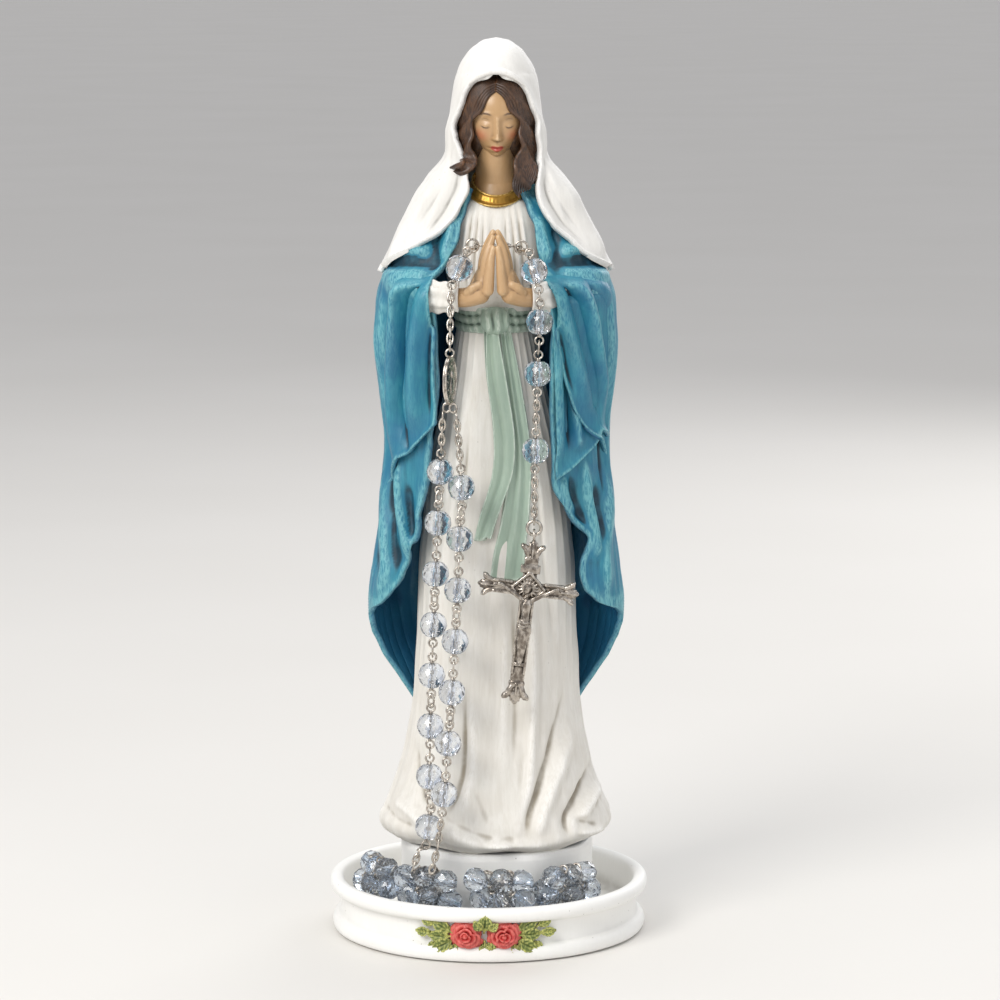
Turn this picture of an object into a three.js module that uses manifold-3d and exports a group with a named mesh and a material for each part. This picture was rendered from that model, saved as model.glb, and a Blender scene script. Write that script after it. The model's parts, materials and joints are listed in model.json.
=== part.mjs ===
// A praying Madonna statue that holds a rosary, standing in a round dish.
// Millimetres, +Z up, the figure faces -Y, the origin is the middle of the dish's underside.
import * as THREE from 'three';
import { mergeVertices } from 'three/addons/utils/BufferGeometryUtils.js';
import Module from 'manifold-3d';

const wasm = await Module();
wasm.setup();

// ---------- driving dimensions ----------
const gap = 0.3; // between neighbouring pieces
const height = 228.6;
const figureX = 2; // the figure stands a little to the right of the dish's middle

const dish = { rim: 41, waist: 38.2, foot: 40.3, inner: 37.3, height: 14, floor: 4.5 };
const pedestal = { y: 0.5, halfWidth: 25, halfDepth: 24.5, top: 23.5 };
const beltHeight = { low: 155, high: 161.6 };
const bodiceHeight = { low: 161.9, high: 190 };
const hem = { low: 23.8 };

const bead = { radius: 3.5, halfLength: 3, bore: 0.65 };
const wire = { radius: 0.3, eye: 1, eyeAt: 4.65 };
const crossPlane = -27; // how far in front of the axis the crucifix hangs
const liftClear = 0.6; // what lifts off passes the hands with this much room

const group = new THREE.Group();

const finishes = {
  whiteResin: { color: 0xf1efea, roughness: 0.62, metalness: 0 },
  gownCream: { color: 0xe6e0d2, roughness: 0.6, metalness: 0 },
  mantleBlue: { color: 0x2f8fae, roughness: 0.5, metalness: 0 },
  sashSage: { color: 0xa9b9a9, roughness: 0.55, metalness: 0 },
  skin: { color: 0xc08d62, roughness: 0.4, metalness: 0 },
  hair: { color: 0x4a2a1c, roughness: 0.5, metalness: 0 },
  gold: { color: 0xa07a35, roughness: 0.35, metalness: 0.8 },
  roseRed: { color: 0xcf4a44, roughness: 0.5, metalness: 0 },
  leafGreen: { color: 0x5f7030, roughness: 0.6, metalness: 0 },
  crystal: { color: 0xc4d8ec, roughness: 0.05, metalness: 0 },
  silver: { color: 0x8d8780, roughness: 0.3, metalness: 1 },
};

// ---------- solids ----------
function toSolid(geometry) {
  const bare = geometry.index ? geometry.toNonIndexed() : geometry.clone();
  for (const name of Object.keys(bare.attributes)) {
    if (name !== 'position') bare.deleteAttribute(name);
  }
  const merged = mergeVertices(bare, 1e-4);
  return new wasm.Manifold(new wasm.Mesh({
    numProp: 3,
    vertProperties: new Float32Array(merged.attributes.position.array),
    triVerts: new Uint32Array(merged.index.array),
  }));
}

function toGeometry(solid) {
  const mesh = solid.getMesh();
  const geometry = new THREE.BufferGeometry();
  geometry.setAttribute('position', new THREE.BufferAttribute(mesh.vertProperties, 3));
  geometry.setIndex(new THREE.BufferAttribute(mesh.triVerts, 1));
  geometry.computeVertexNormals();
  return geometry;
}

// Only the largest body is kept, so a cut leaves no loose crumbs.
function largest(solid) {
  const bodies = solid.decompose();
  return bodies.sort((one, other) => other.volume() - one.volume())[0];
}

function join(solids) {
  return solids.reduce((whole, piece) => whole.add(piece));
}

function cut(solid, ...tools) {
  return tools.reduce((rest, tool) => rest.subtract(tool), solid);
}

function piece(name, solid, finish) {
  const geometry = toGeometry(largest(solid));
  const mesh = new THREE.Mesh(geometry, new THREE.MeshStandardMaterial(finishes[finish]));
  mesh.name = name;
  group.add(mesh);
}

// A closed body through level rings: { z, w, f, b } are half width, front depth and back depth,
// and shift moves a ring along Y. Folds are soft flutes of the given depth round the body.
function loft(levels, { x = figureX, folds = 0, segments = 32, grow = 0 } = {}) {
  const rings = levels.map((level, row) => {
    const first = row === 0 ? -grow : 0;
    const last = row === levels.length - 1 ? grow : 0;
    const ring = [];
    for (let i = 0; i < segments; i += 1) {
      const turn = (i / segments) * Math.PI * 2;
      const flute = 1 + (level.flute ?? 0) * Math.cos(turn * folds);
      const depth = Math.sin(turn) < 0 ? level.f : level.b;
      ring.push(new THREE.Vector3(
        x + Math.cos(turn) * (level.w * flute + grow),
        (level.shift ?? 0) + Math.sin(turn) * (depth * flute + grow),
        level.z + first + last,
      ));
    }
    return ring;
  });
  const points = rings.flat();
  const triangles = [];
  for (let row = 0; row < rings.length - 1; row += 1) {
    for (let i = 0; i < segments; i += 1) {
      const a = row * segments + i;
      const b = row * segments + (i + 1) % segments;
      triangles.push(a, b, b + segments, a, b + segments, a + segments);
    }
  }
  for (const [row, flip] of [[0, true], [rings.length - 1, false]]) {
    const centre = new THREE.Vector3();
    rings[row].forEach((point) => centre.addScaledVector(point, 1 / segments));
    points.push(centre);
    for (let i = 0; i < segments; i += 1) {
      const a = row * segments + i;
      const b = row * segments + (i + 1) % segments;
      const apex = points.length - 1;
      triangles.push(...(flip ? [b, a, apex] : [a, b, apex]));
    }
  }
  const geometry = new THREE.BufferGeometry().setFromPoints(points);
  geometry.setIndex(triangles);
  return toSolid(geometry);
}

function moved(geometry, x, y, z, turns = [0, 0, 0], scale = [1, 1, 1]) {
  geometry.scale(...scale);
  geometry.applyMatrix4(new THREE.Matrix4().makeRotationFromEuler(new THREE.Euler(...turns)));
  geometry.translate(x, y, z);
  return geometry;
}

// A plate: an outline in X and Z, and its near and far Y. Lean gives the Y that it follows at a height.
function plate(outline, near, far, lean = () => 0) {
  const shape = new THREE.Shape(outline.map(([x, z]) => new THREE.Vector2(x, z)));
  const geometry = new THREE.ExtrudeGeometry(shape, { depth: far - near, bevelEnabled: false });
  geometry.rotateX(Math.PI / 2);
  geometry.translate(0, far, 0);
  const place = geometry.attributes.position;
  for (let i = 0; i < place.count; i += 1) place.setY(i, place.getY(i) + lean(place.getZ(i)));
  return toSolid(geometry);
}

function ball(x, y, z, radii, turns = [0, 0, 0], detail = [14, 10]) {
  return toSolid(moved(new THREE.SphereGeometry(1, ...detail), x, y, z, turns, radii));
}

// A round bar through points, with a radius for each end.
function bar(points, radius, { sides = 8, steps = 8, squash = 1 } = {}) {
  const path = new THREE.CatmullRomCurve3(points.map((point) => new THREE.Vector3(...point)));
  const section = new THREE.Shape();
  for (let i = 0; i < sides; i += 1) {
    const turn = (i / sides) * Math.PI * 2;
    const method = i === 0 ? 'moveTo' : 'lineTo';
    section[method](Math.cos(turn) * radius * squash, Math.sin(turn) * radius);
  }
  section.closePath();
  return toSolid(new THREE.ExtrudeGeometry(section, { steps, extrudePath: path, bevelEnabled: false }));
}

function lathe(profile, segments) {
  const geometry = new THREE.LatheGeometry(profile.map(([r, z]) => new THREE.Vector2(r, z)), segments);
  geometry.rotateX(Math.PI / 2);
  return geometry;
}

// ---------- dish ----------
function dishProfile(grow) {
  return [
    [0, -grow], [dish.foot - 1 + grow, -grow], [dish.foot + grow, 1], [dish.foot + grow, 2.6],
    [dish.foot - 1 + grow, 3.6], [dish.waist + grow, 6], [dish.waist + grow, 8.4], [dish.rim - 0.8 + grow, 10.6],
    [dish.rim + grow, 11.8], [dish.rim + grow, 13.2], [dish.rim - 0.8 + grow, dish.height + grow],
    [dish.inner + 1, dish.height + grow], [dish.inner, dish.height - 1],
    [dish.inner, dish.floor + 1], [dish.inner - 1, dish.floor], [0, dish.floor],
  ];
}

function pedestalLevels() {
  const { halfWidth, halfDepth, y, top } = pedestal;
  return [
    { z: dish.floor + gap, w: halfWidth, f: halfDepth, b: halfDepth, shift: y },
    { z: dish.height, w: halfWidth - 0.5, f: halfDepth - 0.5, b: halfDepth - 0.5, shift: y },
    { z: top, w: halfWidth - 1, f: halfDepth - 1.5, b: halfDepth - 1.5, shift: y },
  ];
}

piece('base_dish', toSolid(lathe(dishProfile(0), 40)), 'whiteResin');
piece('pedestal', loft(pedestalLevels(), { segments: 32 }), 'whiteResin');

// ---------- roses and leaves on the front of the dish ----------
const dishGrown = toSolid(lathe(dishProfile(gap), 40));

// A point on the front wall of the dish, from a sideways distance.
function onWall(x, radius) {
  return { x, y: -Math.sqrt(radius ** 2 - x ** 2), turn: Math.asin(x / radius) };
}

function rose(name, x, z) {
  const at = onWall(x, dish.waist + 1.6);
  const bloom = join([
    ball(at.x, at.y, z, [4.1, 2.6, 4.1], [0, 0, at.turn], [12, 8]),
    ball(at.x, at.y - 1.6, z + 0.3, [2.4, 1.9, 2.4], [0, 0, at.turn], [10, 6]),
  ]);
  piece(name, cut(bloom, dishGrown), 'roseRed');
}

function leafSolid({ x, z, length, width, turn }) {
  const at = onWall(x, dish.waist + 1.1);
  const geometry = new THREE.SphereGeometry(1, 8, 6);
  geometry.scale(length / 2, 1.1, width / 2);
  geometry.rotateY(-turn);
  geometry.rotateZ(at.turn);
  geometry.translate(at.x, at.y, z);
  return toSolid(geometry);
}

function leafSpray(name, leaves, keepOff) {
  piece(name, cut(join(leaves.map(leafSolid)), dishGrown, ...keepOff), 'leafGreen');
}

const roseAt = [[-5.3, 7], [3.3, 7]];
const roseRoom = roseAt.map(([x, z]) => ball(x, -dish.waist - 1.6, z, [4.5, 5, 4.5], [0, 0, 0], [12, 8]));
rose('rose_left', ...roseAt[0]);
rose('rose_right', roseAt[1][0] + 0.4, roseAt[1][1]);
leafSpray('leaves_left', [
  { x: -17.5, z: 10, length: 6, width: 3.2, turn: 2.6 },
  { x: -14.6, z: 7.2, length: 6.5, width: 3.2, turn: 0.4 },
  { x: -11.5, z: 8.8, length: 6.5, width: 3.6, turn: -0.5 },
  { x: -10.4, z: 4.8, length: 6, width: 3, turn: 0.3 },
], roseRoom);
leafSpray('leaves_right', [
  { x: 10.2, z: 8, length: 7.5, width: 4.4, turn: 0.6 },
  { x: 13.6, z: 9.8, length: 6, width: 3, turn: 0.9 },
  { x: 15.8, z: 6.6, length: 6.5, width: 3, turn: -0.2 },
  { x: 11.8, z: 4.4, length: 6, width: 2.8, turn: -0.4 },
], roseRoom);
leafSpray('leaf_top', [{ x: -1, z: 11.1, length: 5.4, width: 3.4, turn: 1.5 }], roseRoom);
leafSpray('leaf_bottom', [{ x: -0.8, z: 2.7, length: 4.6, width: 3, turn: 0.2 }], roseRoom);

// ---------- gown ----------
const skirtLevels = [
  { z: hem.low, w: 27.5, f: 23.4, b: 23.6 },
  { z: 27.5, w: 30, f: 25, b: 25, flute: 0.03 },
  { z: 35, w: 27.5, f: 23.6, b: 23, flute: 0.04 },
  { z: 43, w: 25, f: 22.4, b: 21, flute: 0.04 },
  { z: 56, w: 22.4, f: 20.6, b: 19, flute: 0.03 },
  { z: 75, w: 20.5, f: 19, b: 17, flute: 0.03 },
  { z: 100, w: 18, f: 17, b: 15, flute: 0.03 },
  { z: 125, w: 14.5, f: 14.6, b: 13, flute: 0.03 },
  { z: 145, w: 10.5, f: 12.4, b: 11.5, flute: 0.02 },
  { z: beltHeight.low - gap, w: 9.6, f: 11.8, b: 11.5 },
];
const beltLevels = [
  { z: beltHeight.low, w: 9.8, f: 12.2, b: 11.5 },
  { z: (beltHeight.low + beltHeight.high) / 2, w: 10.2, f: 12.8, b: 11.5 },
  { z: beltHeight.high, w: 9.8, f: 12.4, b: 11.5 },
];
const bodiceLevels = [
  { z: bodiceHeight.low, w: 9.8, f: 12, b: 11.5 },
  { z: 170, w: 11, f: 12.4, b: 11.5 },
  { z: 180, w: 10.4, f: 11.4, b: 11 },
  { z: 186, w: 8.6, f: 9.8, b: 9.5 },
  { z: bodiceHeight.high, w: 6.4, f: 8, b: 8 },
];
const skirtShape = { segments: 32, folds: 12 };
piece('gown_skirt', loft(skirtLevels, skirtShape), 'gownCream');
piece('gown_bodice', loft(bodiceLevels, { segments: 24 }), 'gownCream');
piece('sash_belt', loft(beltLevels, { segments: 24 }), 'sashSage');

const skirtGrown = loft(skirtLevels, { ...skirtShape, grow: gap });
const beltGrown = loft(beltLevels, { segments: 24, grow: gap });
const bodiceGrown = loft(bodiceLevels, { segments: 24, grow: gap });

// ---------- head and neck ----------
const headTurn = -0.16; // the head bows
const headParts = (grow) => [
  ball(figureX, -3, 208.4, [6.9 + grow, 7.4 + grow, 9.4 + grow], [headTurn, 0, 0], [18, 14]),
  bar([[figureX, -0.6, 190.3 - grow], [figureX, -1.4, 196], [figureX, -2.2, 203]], 4 + grow, { steps: 4 }),
];
const headGrown = join(headParts(gap));

// ---------- blue mantle over the arms ----------
const mantleLevels = [
  { z: 57, w: 24.5, f: 15, b: 20 },
  { z: 65, w: 28.4, f: 16.5, b: 21.5, flute: 0.02 },
  { z: 74, w: 31.8, f: 17.5, b: 22.5, flute: 0.03 },
  { z: 82.5, w: 33, f: 18, b: 23, flute: 0.02 },
  { z: 95, w: 31.8, f: 18, b: 23, flute: 0.02 },
  { z: 112, w: 29.6, f: 17.5, b: 22.5, flute: 0.03 },
  { z: 127, w: 28.6, f: 17, b: 22, flute: 0.03 },
  { z: 142, w: 29.6, f: 18, b: 22, flute: 0.02 },
  { z: 157, w: 30.6, f: 19, b: 21.5, flute: 0.01 },
  { z: 166, w: 29.6, f: 19, b: 20.5 },
  { z: 173, w: 26.2, f: 15.4, b: 19 },
  { z: 181, w: 21.4, f: 12.4, b: 16.5 },
  { z: 187, w: 17, f: 11, b: 13.5 },
  { z: 191.5, w: 10.5, f: 9, b: 11 },
];
const mantleShape = { segments: 40, folds: 10 };
// The open front: from the collar down the two edges and out to the hem's corners.
const openFront = [
  [-3, 196], [-6.5, 184], [-8, 174], [-13.2, 170], [-13.4, 160], [-12.3, 150], [-12.3, 128],
  [-20, 122.5], [-15.4, 115], [-20.5, 94], [-30.5, 80], [-36, 78], [-36, 68], [-22, 55], [25, 54],
  [36, 72], [34.4, 77], [27.5, 85], [24, 94.5], [25, 103], [17, 117], [28.3, 127.5], [17, 150],
  [16, 160], [15.6, 170], [12, 174], [10.5, 184], [7, 196],
];
const frontCut = plate(openFront, -45, -6);
const mantleWhole = loft(mantleLevels, mantleShape);
piece('mantle', cut(mantleWhole, frontCut, skirtGrown, beltGrown, bodiceGrown, headGrown), 'mantleBlue');
const mantleGrown = loft(mantleLevels, { ...mantleShape, grow: gap });

// ---------- head, hair, collar ----------
piece('head', cut(join(headParts(0)), bodiceGrown), 'skin');

// A lock of hair beside the face, from the parting to the collar.
function lock(side, grow) {
  return bar([
    [figureX + side * 1.5, -7.6, 217.6 + grow * 3], [figureX + side * 6, -6.6, 212.4],
    [figureX + side * 7.2, -6, 205], [figureX + side * 6.6, -7.4, 198.5],
    [figureX + side * 6.2, -8.6, 192.6 - grow * 3],
  ], 1.7 + grow, { steps: 12, squash: 1.25 });
}
const lockRoom = join([lock(-1, gap), lock(1, gap)]);
piece('hair_left', cut(lock(-1, 0), headGrown, bodiceGrown, mantleGrown), 'hair');
piece('hair_right', cut(lock(1, 0), headGrown, bodiceGrown, mantleGrown), 'hair');

function collarBar(grow) {
  const rise = 193.4 + grow * 3;
  return bar([
    [figureX - 5.4, -4.6, rise], [figureX - 4.6, -8.6, 190.4], [figureX, -10.8, 188.6],
    [figureX + 4.6, -8.6, 190.4], [figureX + 5.4, -4.6, rise],
  ], 1.4 + grow, { steps: 10 });
}
piece('collar', cut(collarBar(0), bodiceGrown, headGrown, lockRoom, mantleGrown), 'gold');
const collarGrown = collarBar(gap);

// ---------- white veil ----------
const veilLevels = [
  { z: 170.6, w: 31, f: 16.5, b: 21.5 },
  { z: 176, w: 27, f: 15.6, b: 20.6 },
  { z: 183, w: 23.4, f: 13.8, b: 18 },
  { z: 190, w: 19.9, f: 12.6, b: 15 },
  { z: 194, w: 17.4, f: 12, b: 13.4 },
  { z: 198, w: 13.6, f: 11.8, b: 12.4, shift: 0.4 },
  { z: 206, w: 12, f: 12, b: 12.2, shift: 0.6 },
  { z: 213, w: 11.2, f: 11.8, b: 12, shift: 0.4 },
  { z: 219, w: 10.2, f: 10.6, b: 11 },
  { z: 223.5, w: 8.2, f: 8.6, b: 9 },
  { z: 226.8, w: 5, f: 5.6, b: 5.8 },
  { z: height, w: 1.6, f: 1.8, b: 1.8 },
];
const headRoomLevels = [
  { z: 188, w: 11.5, f: 16, b: 8.6 },
  { z: 200, w: 9.6, f: 16, b: 8.6 },
  { z: 213, w: 8.8, f: 16, b: 8 },
  { z: 219, w: 7.4, f: 15, b: 6 },
  { z: 221, w: 4.6, f: 15, b: 3 },
];
const faceOpening = [
  [-24.5, 168], [-24.5, 173], [-12, 178.5], [-6.5, 184.8], [-5.4, 190.5], [-7.8, 194], [-6, 204], [-5, 213],
  [-2, 219], [2, 220.6], [6, 219], [9, 213], [10, 204], [11.6, 194], [9.8, 190.5],
  [12, 184.8], [17, 179.8], [29, 173], [29, 168],
];
const veil = cut(
  loft(veilLevels, { segments: 40 }), mantleGrown, loft(headRoomLevels, { segments: 24 }), bodiceGrown,
  plate(faceOpening, -30, -4), headGrown, lockRoom, collarGrown,
);
piece('veil', veil, 'whiteResin');

// ---------- praying hands and cuffs ----------
const handFront = -24.5;
const handBack = -18.6;
const palmMiddle = 1.9;
const leftHand = [
  [palmMiddle - gap / 2, 161.6], [-4.6, 162.4], [-5.6, 166], [-4.6, 169.6], [-2.6, 174], [-1.4, 178.4],
  [0.4, 181.8], [palmMiddle - gap / 2, 181.4],
];
const rightHand = leftHand.map(([x, z]) => [2 * palmMiddle - x + (x < 0 ? 0.6 : 0), z]);
piece('hand_left', plate(leftHand, handFront, handBack), 'skin');
piece('hand_right', plate(rightHand, handFront, handBack), 'skin');

function cuff(name, side) {
  const wrist = side < 0 ? -5.4 : 10;
  const sleeve = bar([
    [wrist + side * 7, -15.5, 161.6], [wrist + side * 3, -18.4, 164], [wrist + side * 0.4, -20.6, 166.2],
  ], 3.1, { steps: 3 });
  const room = plate([[-6, 160], [11, 160], [11, 171], [-6, 171]], handFront - 4, handBack + gap);
  piece(name, cut(sleeve, room, mantleGrown, bodiceGrown, beltGrown), 'gownCream');
}
cuff('cuff_left', -1);
cuff('cuff_right', 1);

// ---------- sash ----------
const knotSolid = ball(figureX - 0.2, -13.6, 158.4, [4, 2.2, 3.6], [0, 0, 0], [12, 8]);
piece('sash_knot', cut(knotSolid, beltGrown, skirtGrown, bodiceGrown), 'sashSage');

// The front of the skirt at a height, before its flutes.
function skirtFront(z) {
  const above = skirtLevels.findIndex((level) => level.z >= z);
  const [low, high] = [skirtLevels[Math.max(above - 1, 0)], skirtLevels[Math.max(above, 1)]];
  return -THREE.MathUtils.mapLinear(z, low.z, high.z, low.f, high.f);
}

function sashTail(name, centre, halfWidth, standOff) {
  const left = centre.map(([x, z], i) => [x - halfWidth[i], z]);
  const right = centre.map(([x, z], i) => [x + halfWidth[i], z]).reverse();
  const ribbon = plate([...left, ...right], -standOff - 1.4, -standOff, skirtFront);
  piece(name, cut(ribbon, skirtGrown, beltGrown, knotGrown), 'sashSage');
}
const knotGrown = ball(figureX - 0.2, -13.6, 158.4, [4.3, 2.5, 3.9], [0, 0, 0], [12, 8]);
sashTail('sash_tail_front', [
  [1, 154], [2, 145], [4, 130], [3.6, 120], [0, 110], [-1.4, 103.5],
], [2.4, 2.6, 2.6, 2.4, 2.6, 2.4], 2.4);
sashTail('sash_tail_rear', [
  [4.4, 154], [6.4, 142], [8.2, 125], [7, 110], [5.4, 100], [4.8, 92.5],
], [2, 2.4, 3.6, 4, 4.2, 4.4], 0.7);

// ---------- rosary: wire rings, pins and beads ----------
const point = (x, y, z) => new THREE.Vector3(x, y, z);
const eyeOf = (centre, direction, way) => centre.clone().addScaledVector(direction.clone().normalize(), way);
const linkHalf = 1.5;

// A wire ring: along is its half length on the chain's line, across is its half width.
function ring(centre, direction, edgeOn, along = wire.eye, across = wire.eye, radius = wire.radius) {
  const line = direction.clone().normalize();
  const toFront = point(0, -1, 0);
  const side = new THREE.Vector3().crossVectors(line, toFront).normalize();
  const normal = edgeOn ? side : new THREE.Vector3().crossVectors(side, line).normalize();
  const other = new THREE.Vector3().crossVectors(normal, line);
  const geometry = new THREE.TorusGeometry(across, radius, 4, 8);
  geometry.scale(along / across, 1, 1);
  geometry.applyMatrix4(new THREE.Matrix4().makeBasis(line, other, normal));
  geometry.translate(centre.x, centre.y, centre.z);
  return toSolid(geometry);
}

function rod(start, end, radius, sides = 6) {
  const line = end.clone().sub(start);
  const geometry = new THREE.CylinderGeometry(radius, radius, line.length(), sides);
  const turn = new THREE.Quaternion().setFromUnitVectors(point(0, 1, 0), line.clone().normalize());
  geometry.applyQuaternion(turn);
  const middle = start.clone().add(end).multiplyScalar(0.5);
  geometry.translate(middle.x, middle.y, middle.z);
  return toSolid(geometry);
}

// A chain between two points: one thin wire with flat links threaded along it, as one solid.
function links(start, end, spacing = 5) {
  const line = end.clone().sub(start);
  const count = Math.max(1, Math.round(line.length() / spacing));
  const turn = new THREE.Quaternion().setFromUnitVectors(point(0, 0, 1), line.clone().normalize());
  const solids = [rod(start, end, wire.radius, 4)];
  for (let i = 0; i < count; i += 1) {
    const centre = start.clone().addScaledVector(line, (i + 0.5) / count);
    const geometry = new THREE.OctahedronGeometry(1);
    geometry.scale(wire.eye + wire.radius, wire.eye * 0.7, linkHalf);
    geometry.applyQuaternion(turn);
    solids.push(toSolid(geometry.translate(centre.x, centre.y, centre.z)));
  }
  return solids;
}

// The pin through one bead.
function eyePin(centre, direction) {
  return [rod(eyeOf(centre, direction, -wire.eyeAt), eyeOf(centre, direction, wire.eyeAt), wire.radius, 4)];
}

const beadShape = toGeometry(toSolid(lathe([
  [bead.bore, -bead.halfLength], [bead.radius, -1.3], [bead.radius, 1.3],
  [bead.bore, bead.halfLength], [bead.bore, -bead.halfLength],
], 8)));

function looseBead(name, centre, direction) {
  const mesh = new THREE.Mesh(beadShape.clone(), new THREE.MeshStandardMaterial(finishes.crystal));
  mesh.name = name;
  mesh.position.copy(centre);
  mesh.quaternion.setFromUnitVectors(point(0, 0, 1), direction.clone().normalize());
  group.add(mesh);
}

// A hanging run of beads: the chain is one solid, and each bead turns on its pin.
function beadRun(centres, beadName, start, end) {
  const stops = [start, ...centres, end].filter(Boolean);
  const solids = [];
  let previousEye = start;
  centres.forEach((centre, i) => {
    const at = stops.indexOf(centre);
    const before = stops[at - 1] ?? centre;
    const after = stops[at + 1] ?? centre;
    const line = after.clone().sub(before).normalize();
    const upperEye = centre.clone().addScaledVector(line, -wire.eyeAt);
    if (previousEye) solids.push(...links(previousEye, upperEye));
    solids.push(...eyePin(centre, line));
    looseBead(`${beadName}${i + 1}`, centre, line);
    previousEye = centre.clone().addScaledVector(line, wire.eyeAt);
  });
  if (end) solids.push(...links(previousEye, end));
  return solids;
}

// The two strands of the loop, from the centre medal down to the dish.
const strandPitch = 12.8;
const medalAt = point(-9.4, -27.6, 145);
function strand(count, top, bottom, sway) {
  const centres = [];
  for (let i = 0; i < count; i += 1) {
    const t = i / (count - 1);
    centres.push(point(
      THREE.MathUtils.lerp(top.x, bottom.x, t) + sway * Math.sin(t * Math.PI),
      THREE.MathUtils.lerp(top.y, bottom.y, t),
      top.z - i * strandPitch,
    ));
  }
  return centres;
}
const leftTop = point(-11.9, -24.6, 121.8);
const rightTop = point(-6.6, -28.4, 118.4);
const leftStrand = strand(8, leftTop, point(-15, -28.4, 32), -0.4);
const rightStrand = strand(7, rightTop, point(-11, -33, 43), 0.6);
piece('strand_chain_left', join([
  ...beadRun(leftStrand, 'strand_bead_left_', point(-11.2, -26.4, 136.6), point(-17.2, -29.4, 26.6)),
]), 'silver');
piece('strand_chain_right', join([
  ...beadRun(rightStrand, 'strand_bead_right_', point(-7.8, -28.8, 136.6), point(-12.6, -33, 28)),
]), 'silver');

// The centre medal hangs nearly edge-on, with one loop above and two below.
const medalTurn = new THREE.Euler(0, 0, 1.25);
function medalSolid() {
  const body = new THREE.CylinderGeometry(4.4, 4.4, 1.6, 16);
  body.scale(1, 1, 1.45);
  body.applyMatrix4(new THREE.Matrix4().makeRotationFromEuler(medalTurn));
  body.translate(medalAt.x, medalAt.y, medalAt.z);
  return toSolid(body);
}
piece('centre_medal', medalSolid(), 'silver');

// Over the hands: down the left side to the medal, and round behind the fingers to the right side.
const beadLeftHand = point(-7, -24.4, 172.6);
const beadRightHand = point(11.4, -26.5, 172);
const behindFingers = handBack + liftClear + wire.radius + 0.7;
const medalLoop = point(-9.4, -27.6, 152.9);
const downLeft = point(-3.4, 0.6, -7.6);
const downRight = point(2.2, -1, -8.6);
const besideLeft = point(-3.9, -20.4, 177.3);
const besideRight = point(8.3, -20.8, 176.9);
const overHands = [
  eyeOf(beadLeftHand, downLeft, -wire.eyeAt), besideLeft, point(-2.6, behindFingers, 177.6),
  point(6.8, behindFingers, 177.4), besideRight, eyeOf(beadRightHand, downRight, -wire.eyeAt),
];
piece('hand_chain', join([
  ring(medalLoop, point(0, 0, -1), false),
  ...links(eyeOf(beadLeftHand, downLeft, wire.eyeAt), medalLoop),
  ...eyePin(beadLeftHand, downLeft),
  ...eyePin(beadRightHand, downRight),
  ring(besideLeft, point(0, 0, -1), false, 1.4, 1.4),
  ring(besideRight, point(0, 0, -1), false, 1.4, 1.4),
  ...overHands.slice(1).map((stop, i) => rod(overHands[i], stop, 0.45, 5)),
  rod(besideLeft, besideLeft.clone().add(point(0, 0, 1.4)), wire.radius),
  rod(besideRight, besideRight.clone().add(point(0, 0, 1.4)), wire.radius),
]), 'silver');
looseBead('pendant_bead_1', beadLeftHand, downLeft);
looseBead('pendant_bead_2', beadRightHand, downRight);

// The free end: three beads, a ring, and the crucifix.
const rightLower = eyeOf(beadRightHand, downRight, wire.eyeAt);
const pendantHinge = eyeOf(beadRightHand, downRight, wire.eyeAt + wire.eye);
const hookCentre = pendantHinge.clone().addScaledVector(point(0.1, 0, -1), 0.45);
const pendantBeads = [point(12.8, -27.6, 159.6), point(12.3, -28.2, 146.8), point(11.8, -28.2, 127.6)];
const jumpRing = { centre: point(11.5, crossPlane, 108), radius: 1.7, wire: 0.4 };
piece('pendant_chain', join([
  ring(hookCentre, point(0.1, 0, -1), true, 1.2, 1.2),
  ...beadRun(pendantBeads, 'pendant_bead_free_', hookCentre, jumpRing.centre.clone().add(point(0, 0, 0.9))),
  ring(jumpRing.centre, point(0, 0, -1), false, jumpRing.radius, jumpRing.radius, jumpRing.wire),
]), 'silver');

// ---------- crucifix ----------
const crucifixTilt = -0.12;
const cruciformHalf = [
  [0, 0.2], [1.2, -0.4], [3.4, -3.2], [2.2, -5], [2.3, -8], [4.3, -12.2], [7.6, -10.6], [9.4, -9.4], [12, -11.4],
  [12, -12.8], [9.4, -15], [7.6, -13.8], [4.3, -12.9], [2.3, -17], [2.2, -33.4], [4.4, -36.4], [2, -38.4], [0, -41.4],
];
const cruciform = [
  ...cruciformHalf, ...cruciformHalf.slice(1, -1).reverse().map(([x, z]) => [-x, z]),
];
const crossTop = point(11.5, crossPlane, 104.8);
const crossThickness = 1.8;
function crossTurned(solidGeometry) {
  solidGeometry.rotateY(-crucifixTilt);
  solidGeometry.translate(crossTop.x, crossTop.y, crossTop.z);
  return toSolid(solidGeometry);
}
const crossShape = new THREE.Shape(cruciform.map(([x, z]) => new THREE.Vector2(x, z)));
const crossGeometry = new THREE.ExtrudeGeometry(crossShape, { depth: crossThickness, bevelEnabled: false });
crossGeometry.rotateX(Math.PI / 2);
crossGeometry.translate(0, crossThickness / 2, 0);
const bailCentre = point(11.5, crossPlane, jumpRing.centre.z - jumpRing.radius - 0.1);
piece('crucifix_cross', join([
  crossTurned(crossGeometry), ring(bailCentre, point(0, 0, -1), true, 1.25, 1.25, 0.35),
]), 'silver');

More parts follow.
